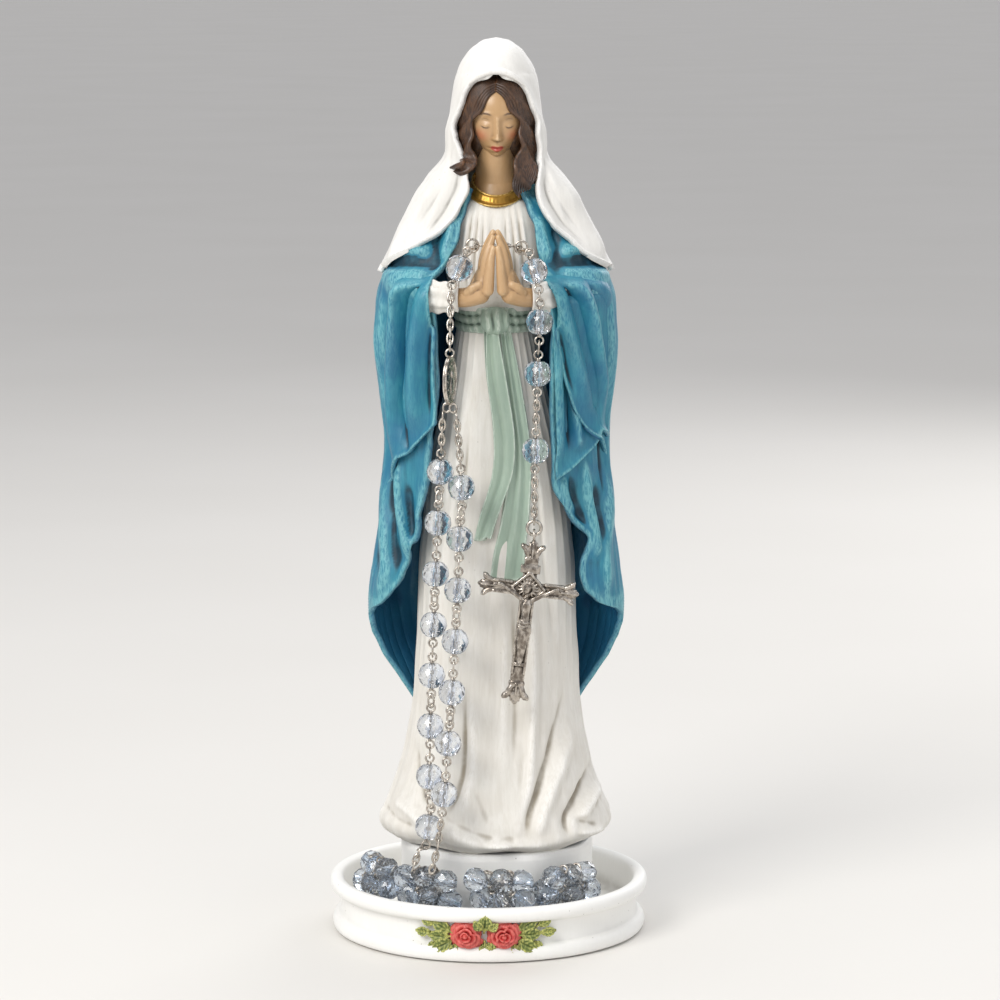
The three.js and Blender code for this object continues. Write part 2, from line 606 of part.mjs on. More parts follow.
const corpusParts = [
  new THREE.BoxGeometry(2.6, 1.3, 8).translate(0, 0, -16.4),
  new THREE.BoxGeometry(1.7, 1.2, 9.6).translate(0, 0, -24.4),
  new THREE.BoxGeometry(1.5, 1.1, 8.4).rotateY(1.0).translate(-3.6, 0, -12),
  new THREE.BoxGeometry(1.5, 1.1, 8.4).rotateY(-1.0).translate(3.6, 0, -12),
  new THREE.SphereGeometry(1.5, 8, 6).scale(1, 0.4, 1).translate(0, 0, -11.4),
];
const corpusFront = -crossThickness / 2 - gap - 0.65;
piece('corpus', join(corpusParts.map((part) => crossTurned(part.translate(0, corpusFront, 0)))), 'silver');

// ---------- the rest of the loop, piled in the dish ----------
const pile = { radius: 3.2, sector: 34, start: -169, outer: 33.6, top: 32.6, inner: 29.6 };
const layers = [
  { z: 8.2, r: pile.outer, turns: [6.4, 17, 27.6] },
  { z: 14, r: pile.outer, turns: [6.4, 17, 27.6] },
  { z: 18.6, r: pile.top, turns: [7, 17, 27] },
];
const pileBeadShape = () => lathe([[0, -3], [pile.radius, -1.3], [pile.radius, 1.3], [0, 3]], 6);

function pileDecade(index, innerTurn) {
  const spots = layers.flatMap(({ z, r, turns }) => turns.map((turn) => ({ z, r, turn })));
  if (innerTurn !== null) spots.push({ z: 14.6, r: pile.inner, turn: innerTurn });
  const centres = spots.map(({ z, r, turn }) => {
    const angle = THREE.MathUtils.degToRad(pile.start + index * pile.sector + turn);
    return point(Math.cos(angle) * r, Math.sin(angle) * r, z);
  });
  const solids = centres.map((centre, i) => {
    const geometry = pileBeadShape();
    geometry.rotateX(0.9 + i);
    return toSolid(geometry.translate(centre.x, centre.y, centre.z));
  });
  for (let i = 0; i < 3; i += 1) {
    solids.push(rod(centres[i], centres[i + 3], 0.6, 4));
    solids.push(rod(centres[i + 3], centres[i + 6], 0.6, 4));
  }
  solids.push(rod(centres[0], centres[2], 0.6, 4));
  if (innerTurn !== null) solids.push(rod(centres[innerTurn < 17 ? 3 : 5], centres[9], 0.6, 4));
  piece(`pile_decade_${index + 1}`, join(solids), 'crystal');
}
[24, 8, null, 6].forEach((innerTurn, index) => pileDecade(index, innerTurn));

export default group;
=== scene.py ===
# A praying Madonna statue in a round dish, with a crystal rosary over the hands.
# Metres, +Z up, the figure faces -Y. Settings are in millimetres and become metres in the functions.
import math

import bpy
import json
import numpy as np
from mathutils import Euler, Matrix, Vector


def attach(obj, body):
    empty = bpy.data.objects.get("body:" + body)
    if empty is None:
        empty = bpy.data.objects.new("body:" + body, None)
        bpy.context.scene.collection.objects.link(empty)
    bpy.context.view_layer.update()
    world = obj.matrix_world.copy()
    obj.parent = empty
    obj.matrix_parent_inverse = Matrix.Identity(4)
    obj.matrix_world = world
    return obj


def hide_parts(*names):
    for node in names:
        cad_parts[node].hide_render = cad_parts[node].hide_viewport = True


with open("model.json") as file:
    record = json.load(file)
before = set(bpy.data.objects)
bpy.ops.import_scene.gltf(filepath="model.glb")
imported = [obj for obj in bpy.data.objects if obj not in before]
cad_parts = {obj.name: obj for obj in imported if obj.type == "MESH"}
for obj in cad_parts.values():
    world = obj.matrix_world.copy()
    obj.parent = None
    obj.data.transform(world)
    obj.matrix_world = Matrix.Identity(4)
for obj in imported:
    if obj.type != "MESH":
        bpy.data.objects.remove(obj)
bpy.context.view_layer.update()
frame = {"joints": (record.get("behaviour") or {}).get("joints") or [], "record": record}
mm = 0.001
figureX = 2.0  # the figure stands a little to the right of the dish's middle
figureMiddle = (figureX, 0, 0)


# Hand tools
def clearSelection():
    if bpy.context.object and bpy.context.object.mode != "OBJECT":
        bpy.ops.object.mode_set(mode="OBJECT")
    bpy.ops.object.select_all(action="DESELECT")


def pick(*pieces):
    clearSelection()
    for piece in pieces:
        piece.select_set(True)
    bpy.context.view_layer.objects.active = pieces[0]
    return pieces[0]


def added(name):
    piece = bpy.context.object
    piece.name = name
    return piece


def editAll():
    bpy.ops.object.mode_set(mode="EDIT")
    bpy.ops.mesh.select_all(action="SELECT")


def leaveEdit():
    bpy.ops.object.mode_set(mode="OBJECT")


def readAll(items, what, width, kind=float):
    flat = np.empty(len(items) * width, kind)
    items.foreach_get(what, flat)
    return flat.reshape(-1, width)


def pointsOf(piece):
    return readAll(piece.data.vertices, "co", 3)


def movePoints(piece, places):
    piece.data.vertices.foreach_set("co", np.asarray(places, float).ravel())
    piece.data.update()
    return piece


def modify(piece, kind, **settings):
    pick(piece)
    modifier = piece.modifiers.new(kind.lower(), kind)
    for key, value in settings.items():
        setattr(modifier, key, value)
    bpy.ops.object.modifier_apply(modifier=modifier.name)
    return piece


def thicken(piece, wall, offset=-1):
    return modify(piece, "SOLIDIFY", thickness=wall * mm, offset=offset)


def recast(piece, grain, factor, rounds):  # melts the parts of a piece into one skin
    modify(piece, "REMESH", mode="VOXEL", voxel_size=grain * mm)
    return modify(piece, "SMOOTH", factor=factor, iterations=rounds)


def closeSeams(piece, distance=0.02, outside=True):
    pick(piece)
    editAll()
    bpy.ops.mesh.remove_doubles(threshold=distance * mm)
    if outside:
        bpy.ops.mesh.normals_make_consistent(inside=False)
    leaveEdit()
    return piece


def joined(name, pieces):
    pick(*pieces)
    if len(pieces) > 1:
        bpy.ops.object.join()
    return added(name)


def copied(piece, name):
    twin = piece.copy()
    twin.data = piece.data.copy()
    twin.name = name
    bpy.context.collection.objects.link(twin)
    return twin


def shifted(place):  # the move to a place in millimetres
    return Matrix.Translation(Vector(place) * mm)


def placed(piece, place=(0, 0, 0), turn=(0, 0, 0), size=(1, 1, 1)):
    piece.data.transform(shifted(place) @ Euler(turn).to_matrix().to_4x4() @ Matrix.Diagonal((*size, 1)))
    piece.data.update()
    return piece


# A finished piece rides on its body, stands for its nodes and gets its material.
def finish(piece, body, material, slotName, *nodes, flat=False):
    pick(piece)
    bpy.ops.object.transform_apply(location=True, rotation=True, scale=True)
    if flat:
        bpy.ops.object.shade_flat()
    else:
        bpy.ops.object.shade_smooth()
    piece.data.materials.clear()
    piece.data.materials.append(material)
    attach(piece, body)
    if nodes:
        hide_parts(*nodes)
    return piece


# Curves and folds
def through(at, stops, values):
    stops = np.asarray(stops, float)
    values = np.asarray(values, float)
    slope = np.gradient(values, stops)
    i = np.clip(np.searchsorted(stops, at) - 1, 0, len(stops) - 2)
    span = stops[i + 1] - stops[i]
    t = np.clip((at - stops[i]) / span, 0, 1)
    start = (2 * t**3 - 3 * t**2 + 1) * values[i] + (t**3 - 2 * t**2 + t) * span * slope[i]
    end = (3 * t**2 - 2 * t**3) * values[i + 1] + (t**3 - t**2) * span * slope[i + 1]
    return start + end


def edgeAt(z, line):  # line is (z, value) pairs, lowest first
    return through(z, *zip(*line))


def smoothLine(line, count=18):
    line = np.asarray(line, float)
    run = np.arange(len(line))
    at = np.linspace(0, len(line) - 1, count)
    return np.stack([through(at, run, column) for column in line.T], 1)


def step(low, high, value):
    t = np.clip((value - low) / (high - low), 0, 1)
    return t * t * (3 - 2 * t)


def bell(value, width):
    return np.exp(-((value / width) ** 2))


# Ridges (and valleys, with a height below 0) along given lines: (height, width, [(x, z), ...]).
def foldField(x, z, folds, crest=2.0, crease=1.25):
    total = np.zeros(len(x))
    for height, width, line in folds:
        path = smoothLine(line)
        reach = width * 3.2
        low, high = path.min(0) - reach, path.max(0) + reach
        near = np.where((x > low[0]) & (x < high[0]) & (z > low[1]) & (z < high[1]))[0]
        if not len(near):
            continue
        nx, nz = x[near], z[near]
        nearest = np.full(len(near), 1e9)
        along = np.zeros(len(near))
        for k in range(len(path) - 1):
            (ax, az), run = path[k], path[k + 1] - path[k]
            t = np.clip(((nx - ax) * run[0] + (nz - az) * run[1]) / (run @ run + 1e-12), 0, 1)
            away = np.hypot(nx - ax - t * run[0], nz - az - t * run[1])
            closer = away < nearest
            nearest[closer] = away[closer]
            along[closer] = ((k + t) / (len(path) - 1))[closer]
        fade = step(0, 0.3, along) * step(0, 0.3, 1 - along) * 0.95 + 0.05
        total[near] += height * fade * np.exp(-((nearest / width) ** (crest if height > 0 else crease)))
    return total


# Long folds round a body, sharp on their crests and wide in their hollows.
def flutes(turn, z, count, depth, drift, start):
    phase = count * turn / 2 + drift * np.sin(z * 0.045 + start) + start
    crest = 1 - np.abs(np.sin(phase))
    return depth * (crest**1.3 - 0.35)


def wobble(x, z, size, seed):
    return (np.sin(x * 1.7 / size + seed) * np.cos(z * 1.3 / size + seed * 2)
            + 0.5 * np.sin(x * 3.1 / size - z * 2.3 / size + seed * 3)) / 1.5


# A sheet with across x down cells, laid by a function of (u, v): u runs across, v from bottom to top.
def drape(name, across, down, shape, wall=0, closed=False, facing=None):
    clearSelection()
    bpy.ops.mesh.primitive_grid_add(x_subdivisions=across, y_subdivisions=down, size=1)
    piece = added(name)
    at = pointsOf(piece)
    movePoints(piece, np.stack(shape(at[:, 0] + 0.5, at[:, 1] + 0.5), 1) * mm)
    if closed:
        closeSeams(piece)
    elif facing is not None:
        turnOutwards(piece, facing)
    return thicken(piece, wall) if wall else piece


def turnOutwards(piece, facing):
    faces = piece.data.polygons
    away = readAll(faces, "center", 3) - np.array(facing) * mm
    away[:, 2] = 0
    if (readAll(faces, "normal", 3) * away).sum() < 0:
        pick(piece)
        editAll()
        bpy.ops.mesh.flip_normals()
        leaveEdit()
    return piece


# Makes a function that gives every point the mean of its neighbours.
def neighbourMean(mesh):
    one, other = readAll(mesh.edges, "vertices", 2, int).T
    count = len(mesh.vertices)
    degree = np.maximum(np.bincount(one, minlength=count) + np.bincount(other, minlength=count), 1)

    def mean(values):
        totals = [np.bincount(one, column[other], count) + np.bincount(other, column[one], count)
                  for column in values.T]
        return np.stack(totals, 1) / degree[:, None]
    return mean


# Evens out the part of a sheet that the weights pick.
def relax(piece, weights, rounds):
    mean = neighbourMean(piece.data)
    places = pointsOf(piece)
    for _ in range(rounds):
        places += weights[:, None] * (mean(places) - places)
    return movePoints(piece, places)


# How far each point stands above the surface round it: 0.5 is level, 0 a crease, 1 a crest.
def carveRelief(piece, rounds, span):
    mean = neighbourMean(piece.data)
    places = pointsOf(piece) / mm
    soft = places.copy()
    for _ in range(rounds):
        soft = (soft + mean(soft)) / 2
    height = ((places - soft) * readAll(piece.data.vertices, "normal", 3)).sum(1)[:, None]
    for _ in range(2):
        height = (height + mean(height)) / 2
    paintMask(piece, "relief", 0.5 + height[:, 0] / (2 * span))
    return piece


# A part of the statue itself; relief says how wide and how deep its hollows are looked for.
def statuePart(piece, relief, paint, slotName, *nodes):
    return finish(carveRelief(piece, *relief), "statue", paint, slotName, *nodes)


def paintMask(piece, name, values):
    attributes = piece.data.attributes
    layer = attributes.get(name) or attributes.new(name, "FLOAT", "POINT")
    layer.data.foreach_set("value", np.clip(values, 0, 1).astype(np.float32))


def tube(name, path, radii, sides):
    clearSelection()
    bpy.ops.curve.primitive_nurbs_path_add()
    curve = added(name).data
    curve.splines.clear()
    line = smoothLine(path, max(10, len(path) * 5))
    thick = np.interp(np.linspace(0, 1, len(line)), np.linspace(0, 1, len(radii)), radii)
    spline = curve.splines.new("POLY")
    spline.points.add(len(line) - 1)
    for point, place, radius in zip(spline.points, line, thick):
        point.co = (*(place * mm), 1)
        point.radius = radius
    curve.dimensions = "3D"
    curve.bevel_depth = mm
    curve.bevel_resolution = max(0, sides // 2 - 2)
    curve.use_fill_caps = True
    bpy.ops.object.convert(target="MESH")
    return closeSeams(bpy.context.object, 0.002)


def ball(name, place, size, segments=24, rings=16, turn=(0, 0, 0)):
    clearSelection()
    bpy.ops.mesh.primitive_uv_sphere_add(segments=segments, ring_count=rings, radius=mm)
    return placed(added(name), place, turn, size)


# Turned work: a profile of (radius, height) points is drawn point by point, then spun.
def turned(name, profile, steps):
    clearSelection()
    bpy.ops.mesh.primitive_plane_add(size=2 * mm)
    piece = added(name)
    editAll()
    bpy.ops.mesh.merge(type="CENTER")
    (radius, height), *rest = profile
    bpy.ops.transform.translate(value=(radius * mm, 0, height * mm))
    for nextRadius, nextHeight in rest:
        run = ((nextRadius - radius) * mm, 0, (nextHeight - height) * mm)
        bpy.ops.mesh.extrude_region_move(TRANSFORM_OT_translate={"value": run})
        radius, height = nextRadius, nextHeight
    bpy.ops.mesh.select_all(action="SELECT")
    bpy.ops.mesh.spin(steps=steps, angle=math.tau, center=(0, 0, 0), axis=(0, 0, 1))
    leaveEdit()
    return closeSeams(piece)


print("tools ready")


# Finishes
def setInputs(tree, node, inputs):  # a socket is linked, a value is set
    for key, value in inputs.items():
        if isinstance(value, bpy.types.NodeSocket):
            tree.links.new(value, node.inputs[key])
        else:
            node.inputs[key].default_value = value
    return node


def addNode(tree, kind, inputs=None, **settings):
    node = tree.nodes.new(kind)
    for key, value in settings.items():
        setattr(node, key, value)
    return setInputs(tree, node, inputs or {})


def colour(hexCode):
    parts = [int(hexCode[i:i + 2], 16) / 255 for i in (0, 2, 4)]
    linear = [p / 12.92 if p <= 0.04045 else ((p + 0.055) / 1.055) ** 2.4 for p in parts]
    return (*linear, 1)


def blendColours(tree, factor, low, high):
    return addNode(tree, "ShaderNodeMix", {0: factor, 6: low, 7: high}, data_type="RGBA").outputs[2]


def remap(tree, value, low, high, to=(0, 1)):
    return addNode(tree, "ShaderNodeMapRange", {0: value, 1: low, 2: high, 3: to[0], 4: to[1]},
                   interpolation_type="SMOOTHSTEP").outputs[0]


def maths(tree, operation, one, other):
    return addNode(tree, "ShaderNodeMath", {0: one, 1: other}, operation=operation).outputs[0]


def times(tree, one, other):
    return maths(tree, "MULTIPLY", one, other)


def plus(tree, one, other):
    return maths(tree, "ADD", one, other)


def placeOf(tree):
    return addNode(tree, "ShaderNodeTexCoord").outputs["Object"]


def stretched(tree, place, tall):
    return addNode(tree, "ShaderNodeMapping", {"Vector": place, "Scale": (1, 1, tall)}).outputs[0]


def noise(tree, place, scale, detail, **more):
    inputs = {"Vector": place, "Scale": scale, "Detail": detail, **more}
    return addNode(tree, "ShaderNodeTexNoise", inputs).outputs[0]


def bumpFrom(tree, height, strength, distance):
    inputs = {"Height": height, "Strength": strength, "Distance": distance * mm}
    return addNode(tree, "ShaderNodeBump", inputs).outputs[0]


def newGroup(name, inputs, outputs):
    tree = bpy.data.node_groups.new(name, "ShaderNodeTree")
    for label, kind, value in inputs:
        socket = tree.interface.new_socket(label, in_out="INPUT", socket_type=kind)
        socket.default_value = value
    for label, kind in outputs:
        tree.interface.new_socket(label, in_out="OUTPUT", socket_type=kind)
    return tree, tree.nodes.new("NodeGroupInput").outputs, tree.nodes.new("NodeGroupOutput")


number, tint = "NodeSocketFloat", "NodeSocketColor"


# Thinned dark paint left in the hollows, which also paints in the shade that falls there, and a dry brush of
# light paint over the crests, which also paints in highlights.
def makeAgeing():
    tree, given, out = newGroup("ageing", [
        ("Relief", number, 0.5), ("Paint", tint, (0.8, 0.8, 0.8, 1)), ("Wash", tint, (0.2, 0.15, 0.1, 1)),
        ("Dry", tint, (1, 1, 1, 1)), ("Wash amount", number, 0.8), ("Dry amount", number, 0.5),
    ], [("Colour", tint), ("Hollow", number), ("Crest", number)])
    place = placeOf(tree)
    patches = noise(tree, place, 260, 5)
    bristles = noise(tree, stretched(tree, place, 0.22), 2300, 3, Roughness=0.6)
    hollow = times(tree, remap(tree, given["Relief"], 0.47, 0.08), remap(tree, patches, 0.25, 0.6, (0.55, 1)))
    hollow = times(tree, hollow, given["Wash amount"])
    crest = times(tree, remap(tree, given["Relief"], 0.54, 0.95), remap(tree, bristles, 0.3, 0.62))
    crest = times(tree, crest, given["Dry amount"])
    # the hollows take the dark colour as wash and painted shade, the crests the light colour as dry brush and
    # painted highlight
    shade = blendColours(tree, hollow, given["Paint"], given["Wash"])
    final = blendColours(tree, crest, shade, given["Dry"])
    setInputs(tree, out, {"Colour": final, "Hollow": hollow, "Crest": crest})
    return tree


# Brush marks that run down the piece, with the paint's slow changes of shade.
def makeBrushwork():
    tree, given, out = newGroup("brushwork", [("Size", number, 900), ("Slow size", number, 90)],
                                [("Marks", number), ("Shade", number), ("Height", number)])
    place = placeOf(tree)
    marks = noise(tree, stretched(tree, place, 0.13), given["Size"], 4, Roughness=0.65, Distortion=0.6)
    shade = noise(tree, place, given["Slow size"], 3)
    setInputs(tree, out, {"Marks": remap(tree, marks, 0.35, 0.68), "Shade": remap(tree, shade, 0.3, 0.7),
                          "Height": marks})
    return tree


# Cast resin: a fine grain, pinholes and dark specks.
def makeResinGrain():
    tree, given, out = newGroup("resinGrain", [("Size", number, 2600)],
                                [("Height", number), ("Specks", number), ("Rough", number)])
    place = placeOf(tree)
    fine = noise(tree, place, given["Size"], 4)
    cells = addNode(tree, "ShaderNodeTexVoronoi", {"Vector": place, "Scale": 620}).outputs[0]
    specks = times(tree, remap(tree, cells, 0.16, 0.07), remap(tree, noise(tree, place, 330, 2), 0.55, 0.68))
    height = maths(tree, "SUBTRACT", fine, times(tree, specks, 0.5))
    setInputs(tree, out, {"Height": height, "Specks": specks, "Rough": remap(tree, fine, 0.3, 0.7)})
    return tree


ageing, brushwork, resinGrain = makeAgeing(), makeBrushwork(), makeResinGrain()


def newMaterial(name):
    material = bpy.data.materials.new(name)
    material.use_nodes = True
    tree = material.node_tree
    return material, tree, tree.nodes["Principled BSDF"]


def useGroup(tree, group, **inputs):
    named = {key.replace("_", " "): value for key, value in inputs.items()}
    return addNode(tree, "ShaderNodeGroup", named, node_tree=group).outputs


def maskOf(tree, name):
    return addNode(tree, "ShaderNodeAttribute", attribute_name=name).outputs["Fac"]


paintSettings = {  # what a paint has when it doesn't say
    "washAmount": 0.85, "dryAmount": 0.5, "specks": 0, "painted": (), "metal": 0, "coat": 0,
}


# Hand-painted resin, which most of the statue is.
def paintedResin(name, **look):
    look = {**paintSettings, **look}
    material, tree, shader = newMaterial(name)
    brush, grain = useGroup(tree, brushwork), useGroup(tree, resinGrain)
    paint = blendColours(tree, times(tree, brush["Marks"], look["marks"]),
                         colour(look["paint"]), colour(look["second"]))
    paint = blendColours(tree, times(tree, brush["Shade"], look["patchy"]), paint, colour(look["third"]))
    # the dark wash also paints shade into the hollows, the light dry brush also paints highlights onto the
    # crests
    aged = useGroup(tree, ageing, Relief=maskOf(tree, "relief"), Paint=paint, Wash=colour(look["wash"]),
                    Dry=colour(look["dry"]), Wash_amount=look["washAmount"], Dry_amount=look["dryAmount"])
    final = blendColours(tree, times(tree, grain["Specks"], look["specks"]), aged["Colour"], colour("8a8378"))
    for mask, paintHex, amount in look["painted"]:  # painted marks, such as lips, by mask
        final = blendColours(tree, times(tree, maskOf(tree, mask), amount), final, colour(paintHex))
    rough = plus(tree, times(tree, grain["Rough"], 0.12), look["rough"] - 0.06)
    height = plus(tree, times(tree, brush["Height"], 0.6), times(tree, grain["Height"], 0.5))
    setInputs(tree, shader, {
        "Base Color": final, "Roughness": plus(tree, rough, times(tree, aged["Hollow"], 0.12)),
        "Normal": bumpFrom(tree, height, look["bump"], 0.12), "Metallic": look["metal"],
        "Specular IOR Level": 0.5, "Coat Weight": look["coat"], "Coat Roughness": 0.3,
    })
    return material


# In each paint, the wash colour goes into the hollows and the dry colour onto the crests, both as paint and
# as painted shade and highlight.
dishWhitePaint = paintedResin(
    "dishWhitePaint", paint="f3f2ee", second="e9e8e4", third="e6e4df", wash="a8a49b", dry="ffffff", marks=0.2,
    patchy=0.3, washAmount=0.7, dryAmount=0.3, specks=0.7, rough=0.55, bump=0.22)
veilWhitePaint = paintedResin(
    "veilWhitePaint", paint="e6e4df", second="d2cfc9", third="d8d5cf", wash="85827b", dry="fbfaf8", marks=0.3,
    patchy=0.4, washAmount=0.8, dryAmount=0.5, specks=0.35, rough=0.58, bump=0.3)
gownCreamPaint = paintedResin(
    "gownCreamPaint", paint="e6e3dc", second="d0cbc0", third="d6d0c5", wash="7d6f56", dry="faf8f4", marks=0.4,
    patchy=0.45, washAmount=0.75, dryAmount=0.55, specks=0.3, rough=0.55, bump=0.35)
mantleBluePaint = paintedResin(
    "mantleBluePaint", paint="267a92", second="459ca9", third="185f88", wash="04202f", dry="86c6c8",
    marks=0.5, patchy=0.6, washAmount=0.92, dryAmount=0.62, rough=0.46, bump=0.4,
    # the inside of the mantle is painted a darker blue
    painted=[("lining", "1f5f88", 0.75)])
sashSagePaint = paintedResin(
    "sashSagePaint", paint="9db1a0", second="b3c3b2", third="8ba090", wash="35463d", dry="dde6da", marks=0.4,
    patchy=0.3, washAmount=0.85, dryAmount=0.6, rough=0.5, bump=0.35)
skinPaint = paintedResin(
    "skinPaint", paint="b99468", second="ab875b", third="c7a57f", wash="4f341c", dry="ead0a8", marks=0.14,
    patchy=0.4, washAmount=0.8, dryAmount=0.35, rough=0.38, bump=0.15, coat=0.25,
    painted=[("blush", "cd6a4e", 0.55), ("lips", "b03a34", 0.9), ("brows", "3d2415", 0.85),
             ("lashes", "21140d", 0.95)])
hairBrownPaint = paintedResin(
    "hairBrownPaint", paint="25160e", second="402718", third="1c1009", wash="080402", dry="a3724b",
    marks=0.35, patchy=0.4, washAmount=1.0, dryAmount=0.55, rough=0.42, bump=0.4, coat=0.2)
antiqueGoldPaint = paintedResin(
    "antiqueGoldPaint", paint="a87f35", second="c39a4a", third="8b6527", wash="3d280e", dry="efd38a",
    marks=0.4, patchy=0.4, washAmount=0.9, dryAmount=0.7, rough=0.36, metal=0.75, bump=0.4)
roseRedPaint = paintedResin(
    "roseRedPaint", paint="cc4340", second="dd5f56", third="b83236", wash="3a070d", dry="ee8f81", marks=0.4,
    patchy=0.35, washAmount=1.0, dryAmount=0.5, rough=0.45, bump=0.3)
leafGreenPaint = paintedResin(
    "leafGreenPaint", paint="4d5f28", second="7d8a3c", third="3a4c20", wash="141c0a", dry="cfcf78", marks=0.5,
    patchy=0.5, washAmount=1.0, dryAmount=0.85, rough=0.5, bump=0.35)


# Cut crystal: ice blue, with faint clouds inside and soft scuffs on the cut edges.
def makeCrystal(name, tintLow, tintHigh, clear):
    material, tree, shader = newMaterial(name)
    place = placeOf(tree)
    clouds = remap(tree, noise(tree, place, 420, 2), 0.35, 0.65)
    scuffs = noise(tree, place, 2600, 3)
    setInputs(tree, shader, {
        "Base Color": blendColours(tree, clouds, colour(tintLow), colour(tintHigh)),
        "Roughness": remap(tree, scuffs, 0.5, 0.8, (0.01, 0.07)),
        "Normal": bumpFrom(tree, scuffs, 0.05, 0.05),
        "Transmission Weight": clear, "IOR": 1.56,
    })
    return material


iceCrystal = makeCrystal("iceCrystal", "e9f0fb", "fafcff", 0.97)
iceCrystalPile = makeCrystal("iceCrystalPile", "e2edfa", "f6faff", 0.95)


# Antique silver: bright on what is rubbed, brown-black in what is not.
def makeAntiqueSilver():
    material, tree, shader = newMaterial("antiqueSilver")
    grain = useGroup(tree, resinGrain, Size=2400)
    cloud = remap(tree, noise(tree, placeOf(tree), 700, 4), 0.35, 0.65)
    metal = blendColours(tree, cloud, colour("776e65"), colour("c0b7ac"))
    aged = useGroup(tree, ageing, Relief=maskOf(tree, "relief"), Paint=metal, Wash=colour("150e0a"),
                    Dry=colour("efe8dd"), Wash_amount=1.0, Dry_amount=0.6)
    rough = plus(tree, times(tree, grain["Rough"], 0.14), 0.22)
    setInputs(tree, shader, {
        "Base Color": aged["Colour"], "Roughness": plus(tree, rough, times(tree, aged["Hollow"], 0.25)),
        "Normal": bumpFrom(tree, grain["Height"], 0.25, 0.06), "Metallic": 1.0,
    })
    return material


antiqueSilver = makeAntiqueSilver()
print("finishes mixed")


# Garments
def sectionAt(levels, z):
    stops, widths, fronts, backs = zip(*levels)
    return [through(z, stops, values) for values in (widths, fronts, backs)]


# A ring round the figure: turn 0 is its left side (+X), a quarter turn is the back, and -a quarter the front.
def onSection(levels, turn, z, out=0.0, square=1.0):
    w, f, b = sectionAt(levels, z)
    across, deep = np.cos(turn), np.sin(turn)
    across = np.sign(across) * np.abs(across) ** square
    deep = np.sign(deep) * np.abs(deep) ** square
    depth = np.where(deep < 0, f, b)
    nx, ny = across / w, deep / depth
    length = np.hypot(nx, ny)
    return figureX + across * w + out * nx / length, deep * depth + out * ny / length, z


def frontWeight(turn):
    return step(0.1, -0.25, np.sin(turn))


skirt = {
    "hem": 23.8, "waist": 156.5,
    "levels": [(23.8, 26.6, 22.6, 23.2), (27.5, 29.4, 24.4, 24.6), (35, 27, 23.2, 22.7), (43, 24.6, 22, 20.7),
               (56, 21.9, 20.1, 18.6), (75, 20.6, 18.6, 16.6), (100, 19.4, 16.4, 14.6),
               (125, 16.2, 14.2, 12.7), (145, 11.8, 12.2, 11.3), (156.5, 9.5, 11.6, 11.2)],
    "folds": [
        (-1.0, 1.3, [(-6, 70), (-6, 49), (-7.5, 40), (-11, 32.5)]),
        (0.8, 1.7, [(-3.6, 66), (-4, 44.5), (-7.5, 31)]),
        (0.9, 1.5, [(9, 100), (11, 72), (10.5, 44.5), (8, 27)]),
        (-1.1, 1.2, [(21, 70), (15, 46.5), (11, 36), (9, 27)]),
        (0.9, 1.6, [(23.5, 60), (18, 44), (14, 34), (13, 27)]),
        (-1.3, 1.1, [(27, 45), (23, 37), (20, 32), (21, 26)]), (1.1, 1.4, [(29, 39), (25.5, 34.5), (23, 31)]),
        (-0.5, 0.9, [(22, 31.6), (29, 28.6)]), (0.8, 1.0, [(22.5, 28.4), (26, 27.2), (30, 27.6)]),
        (-0.6, 1.3, [(-29, 33), (-23.5, 30.2), (-18, 29.5)]), (0.8, 1.6, [(-25, 35), (-19.5, 33), (-14, 28)]),
        (-0.8, 1.2, [(-19, 52), (-18, 42), (-15, 33)]),
        (0.7, 1.6, [(-14, 100), (-14.5, 70), (-14, 45), (-12, 30)]),
        (1.2, 1.9, [(-13, 31), (-6, 27.4), (3, 25.4), (14, 26), (24, 27)]),
        (-0.45, 1.2, [(-14, 34), (-6, 30.4), (2, 28), (10, 28.6)]), (-0.35, 1.3, [(-4.5, 42), (0.5, 30)]),
        (1.0, 2.0, [(0, 28), (3, 26), (6, 27)]), (0.5, 1.6, [(2, 150), (3, 110), (4, 60), (4, 34)]),
        (-0.6, 1.2, [(-2, 152), (-6, 120), (-9, 90), (-10, 62)]), (-0.6, 1.2, [(6, 90), (7, 66), (6.4, 42)]),
        (-0.5, 1.2, [(9, 150), (12, 120), (15, 92), (17, 72)]), (0.5, 1.3, [(-4, 148), (-8, 118), (-12, 88)]),
    ],
}


def skirtCloth(u, v):
    turn = u * math.tau
    z = skirt["hem"] + (skirt["waist"] - skirt["hem"]) * v**1.25
    x, _, _ = onSection(skirt["levels"], turn, z)
    front = frontWeight(turn)
    out = 1.5 * foldField(x, z, skirt["folds"]) * front
    low = step(80, 30, z)
    out += (1 - front) * flutes(turn, z, 15, 0.7 + 1.1 * low, 0.5, 0.7)
    out += front * flutes(turn, z, 34, 0.22, 1.4, 0.2) + 0.12 * wobble(x, z, 5, 0.3)
    out -= 1.6 * step(26.2, 23.8, z)  # the hem rolls under
    x, y, z = onSection(skirt["levels"], turn, z, out)
    dip = 1.5 * np.cos(turn * 3 + 0.6) * step(31, 24, z) * (1 - front)
    dip += 0.5 * front * step(28, 24, z) * np.sin(x / 3.1)
    return x, y, z + dip


bodice = {
    "square": 0.72,
    "levels": [(160.5, 10.2, 12, 11.2), (170, 12.8, 12.4, 11), (180, 12.8, 11.2, 10), (186, 11.2, 9.6, 9),
               (188.8, 7.2, 8.2, 8), (190.8, 4.6, 6, 6.6)],
    "pleats": [-6.2, -4.3, -2.5, -0.6, 1.6, 3.6, 5.6, 7.6, 9.6],
}


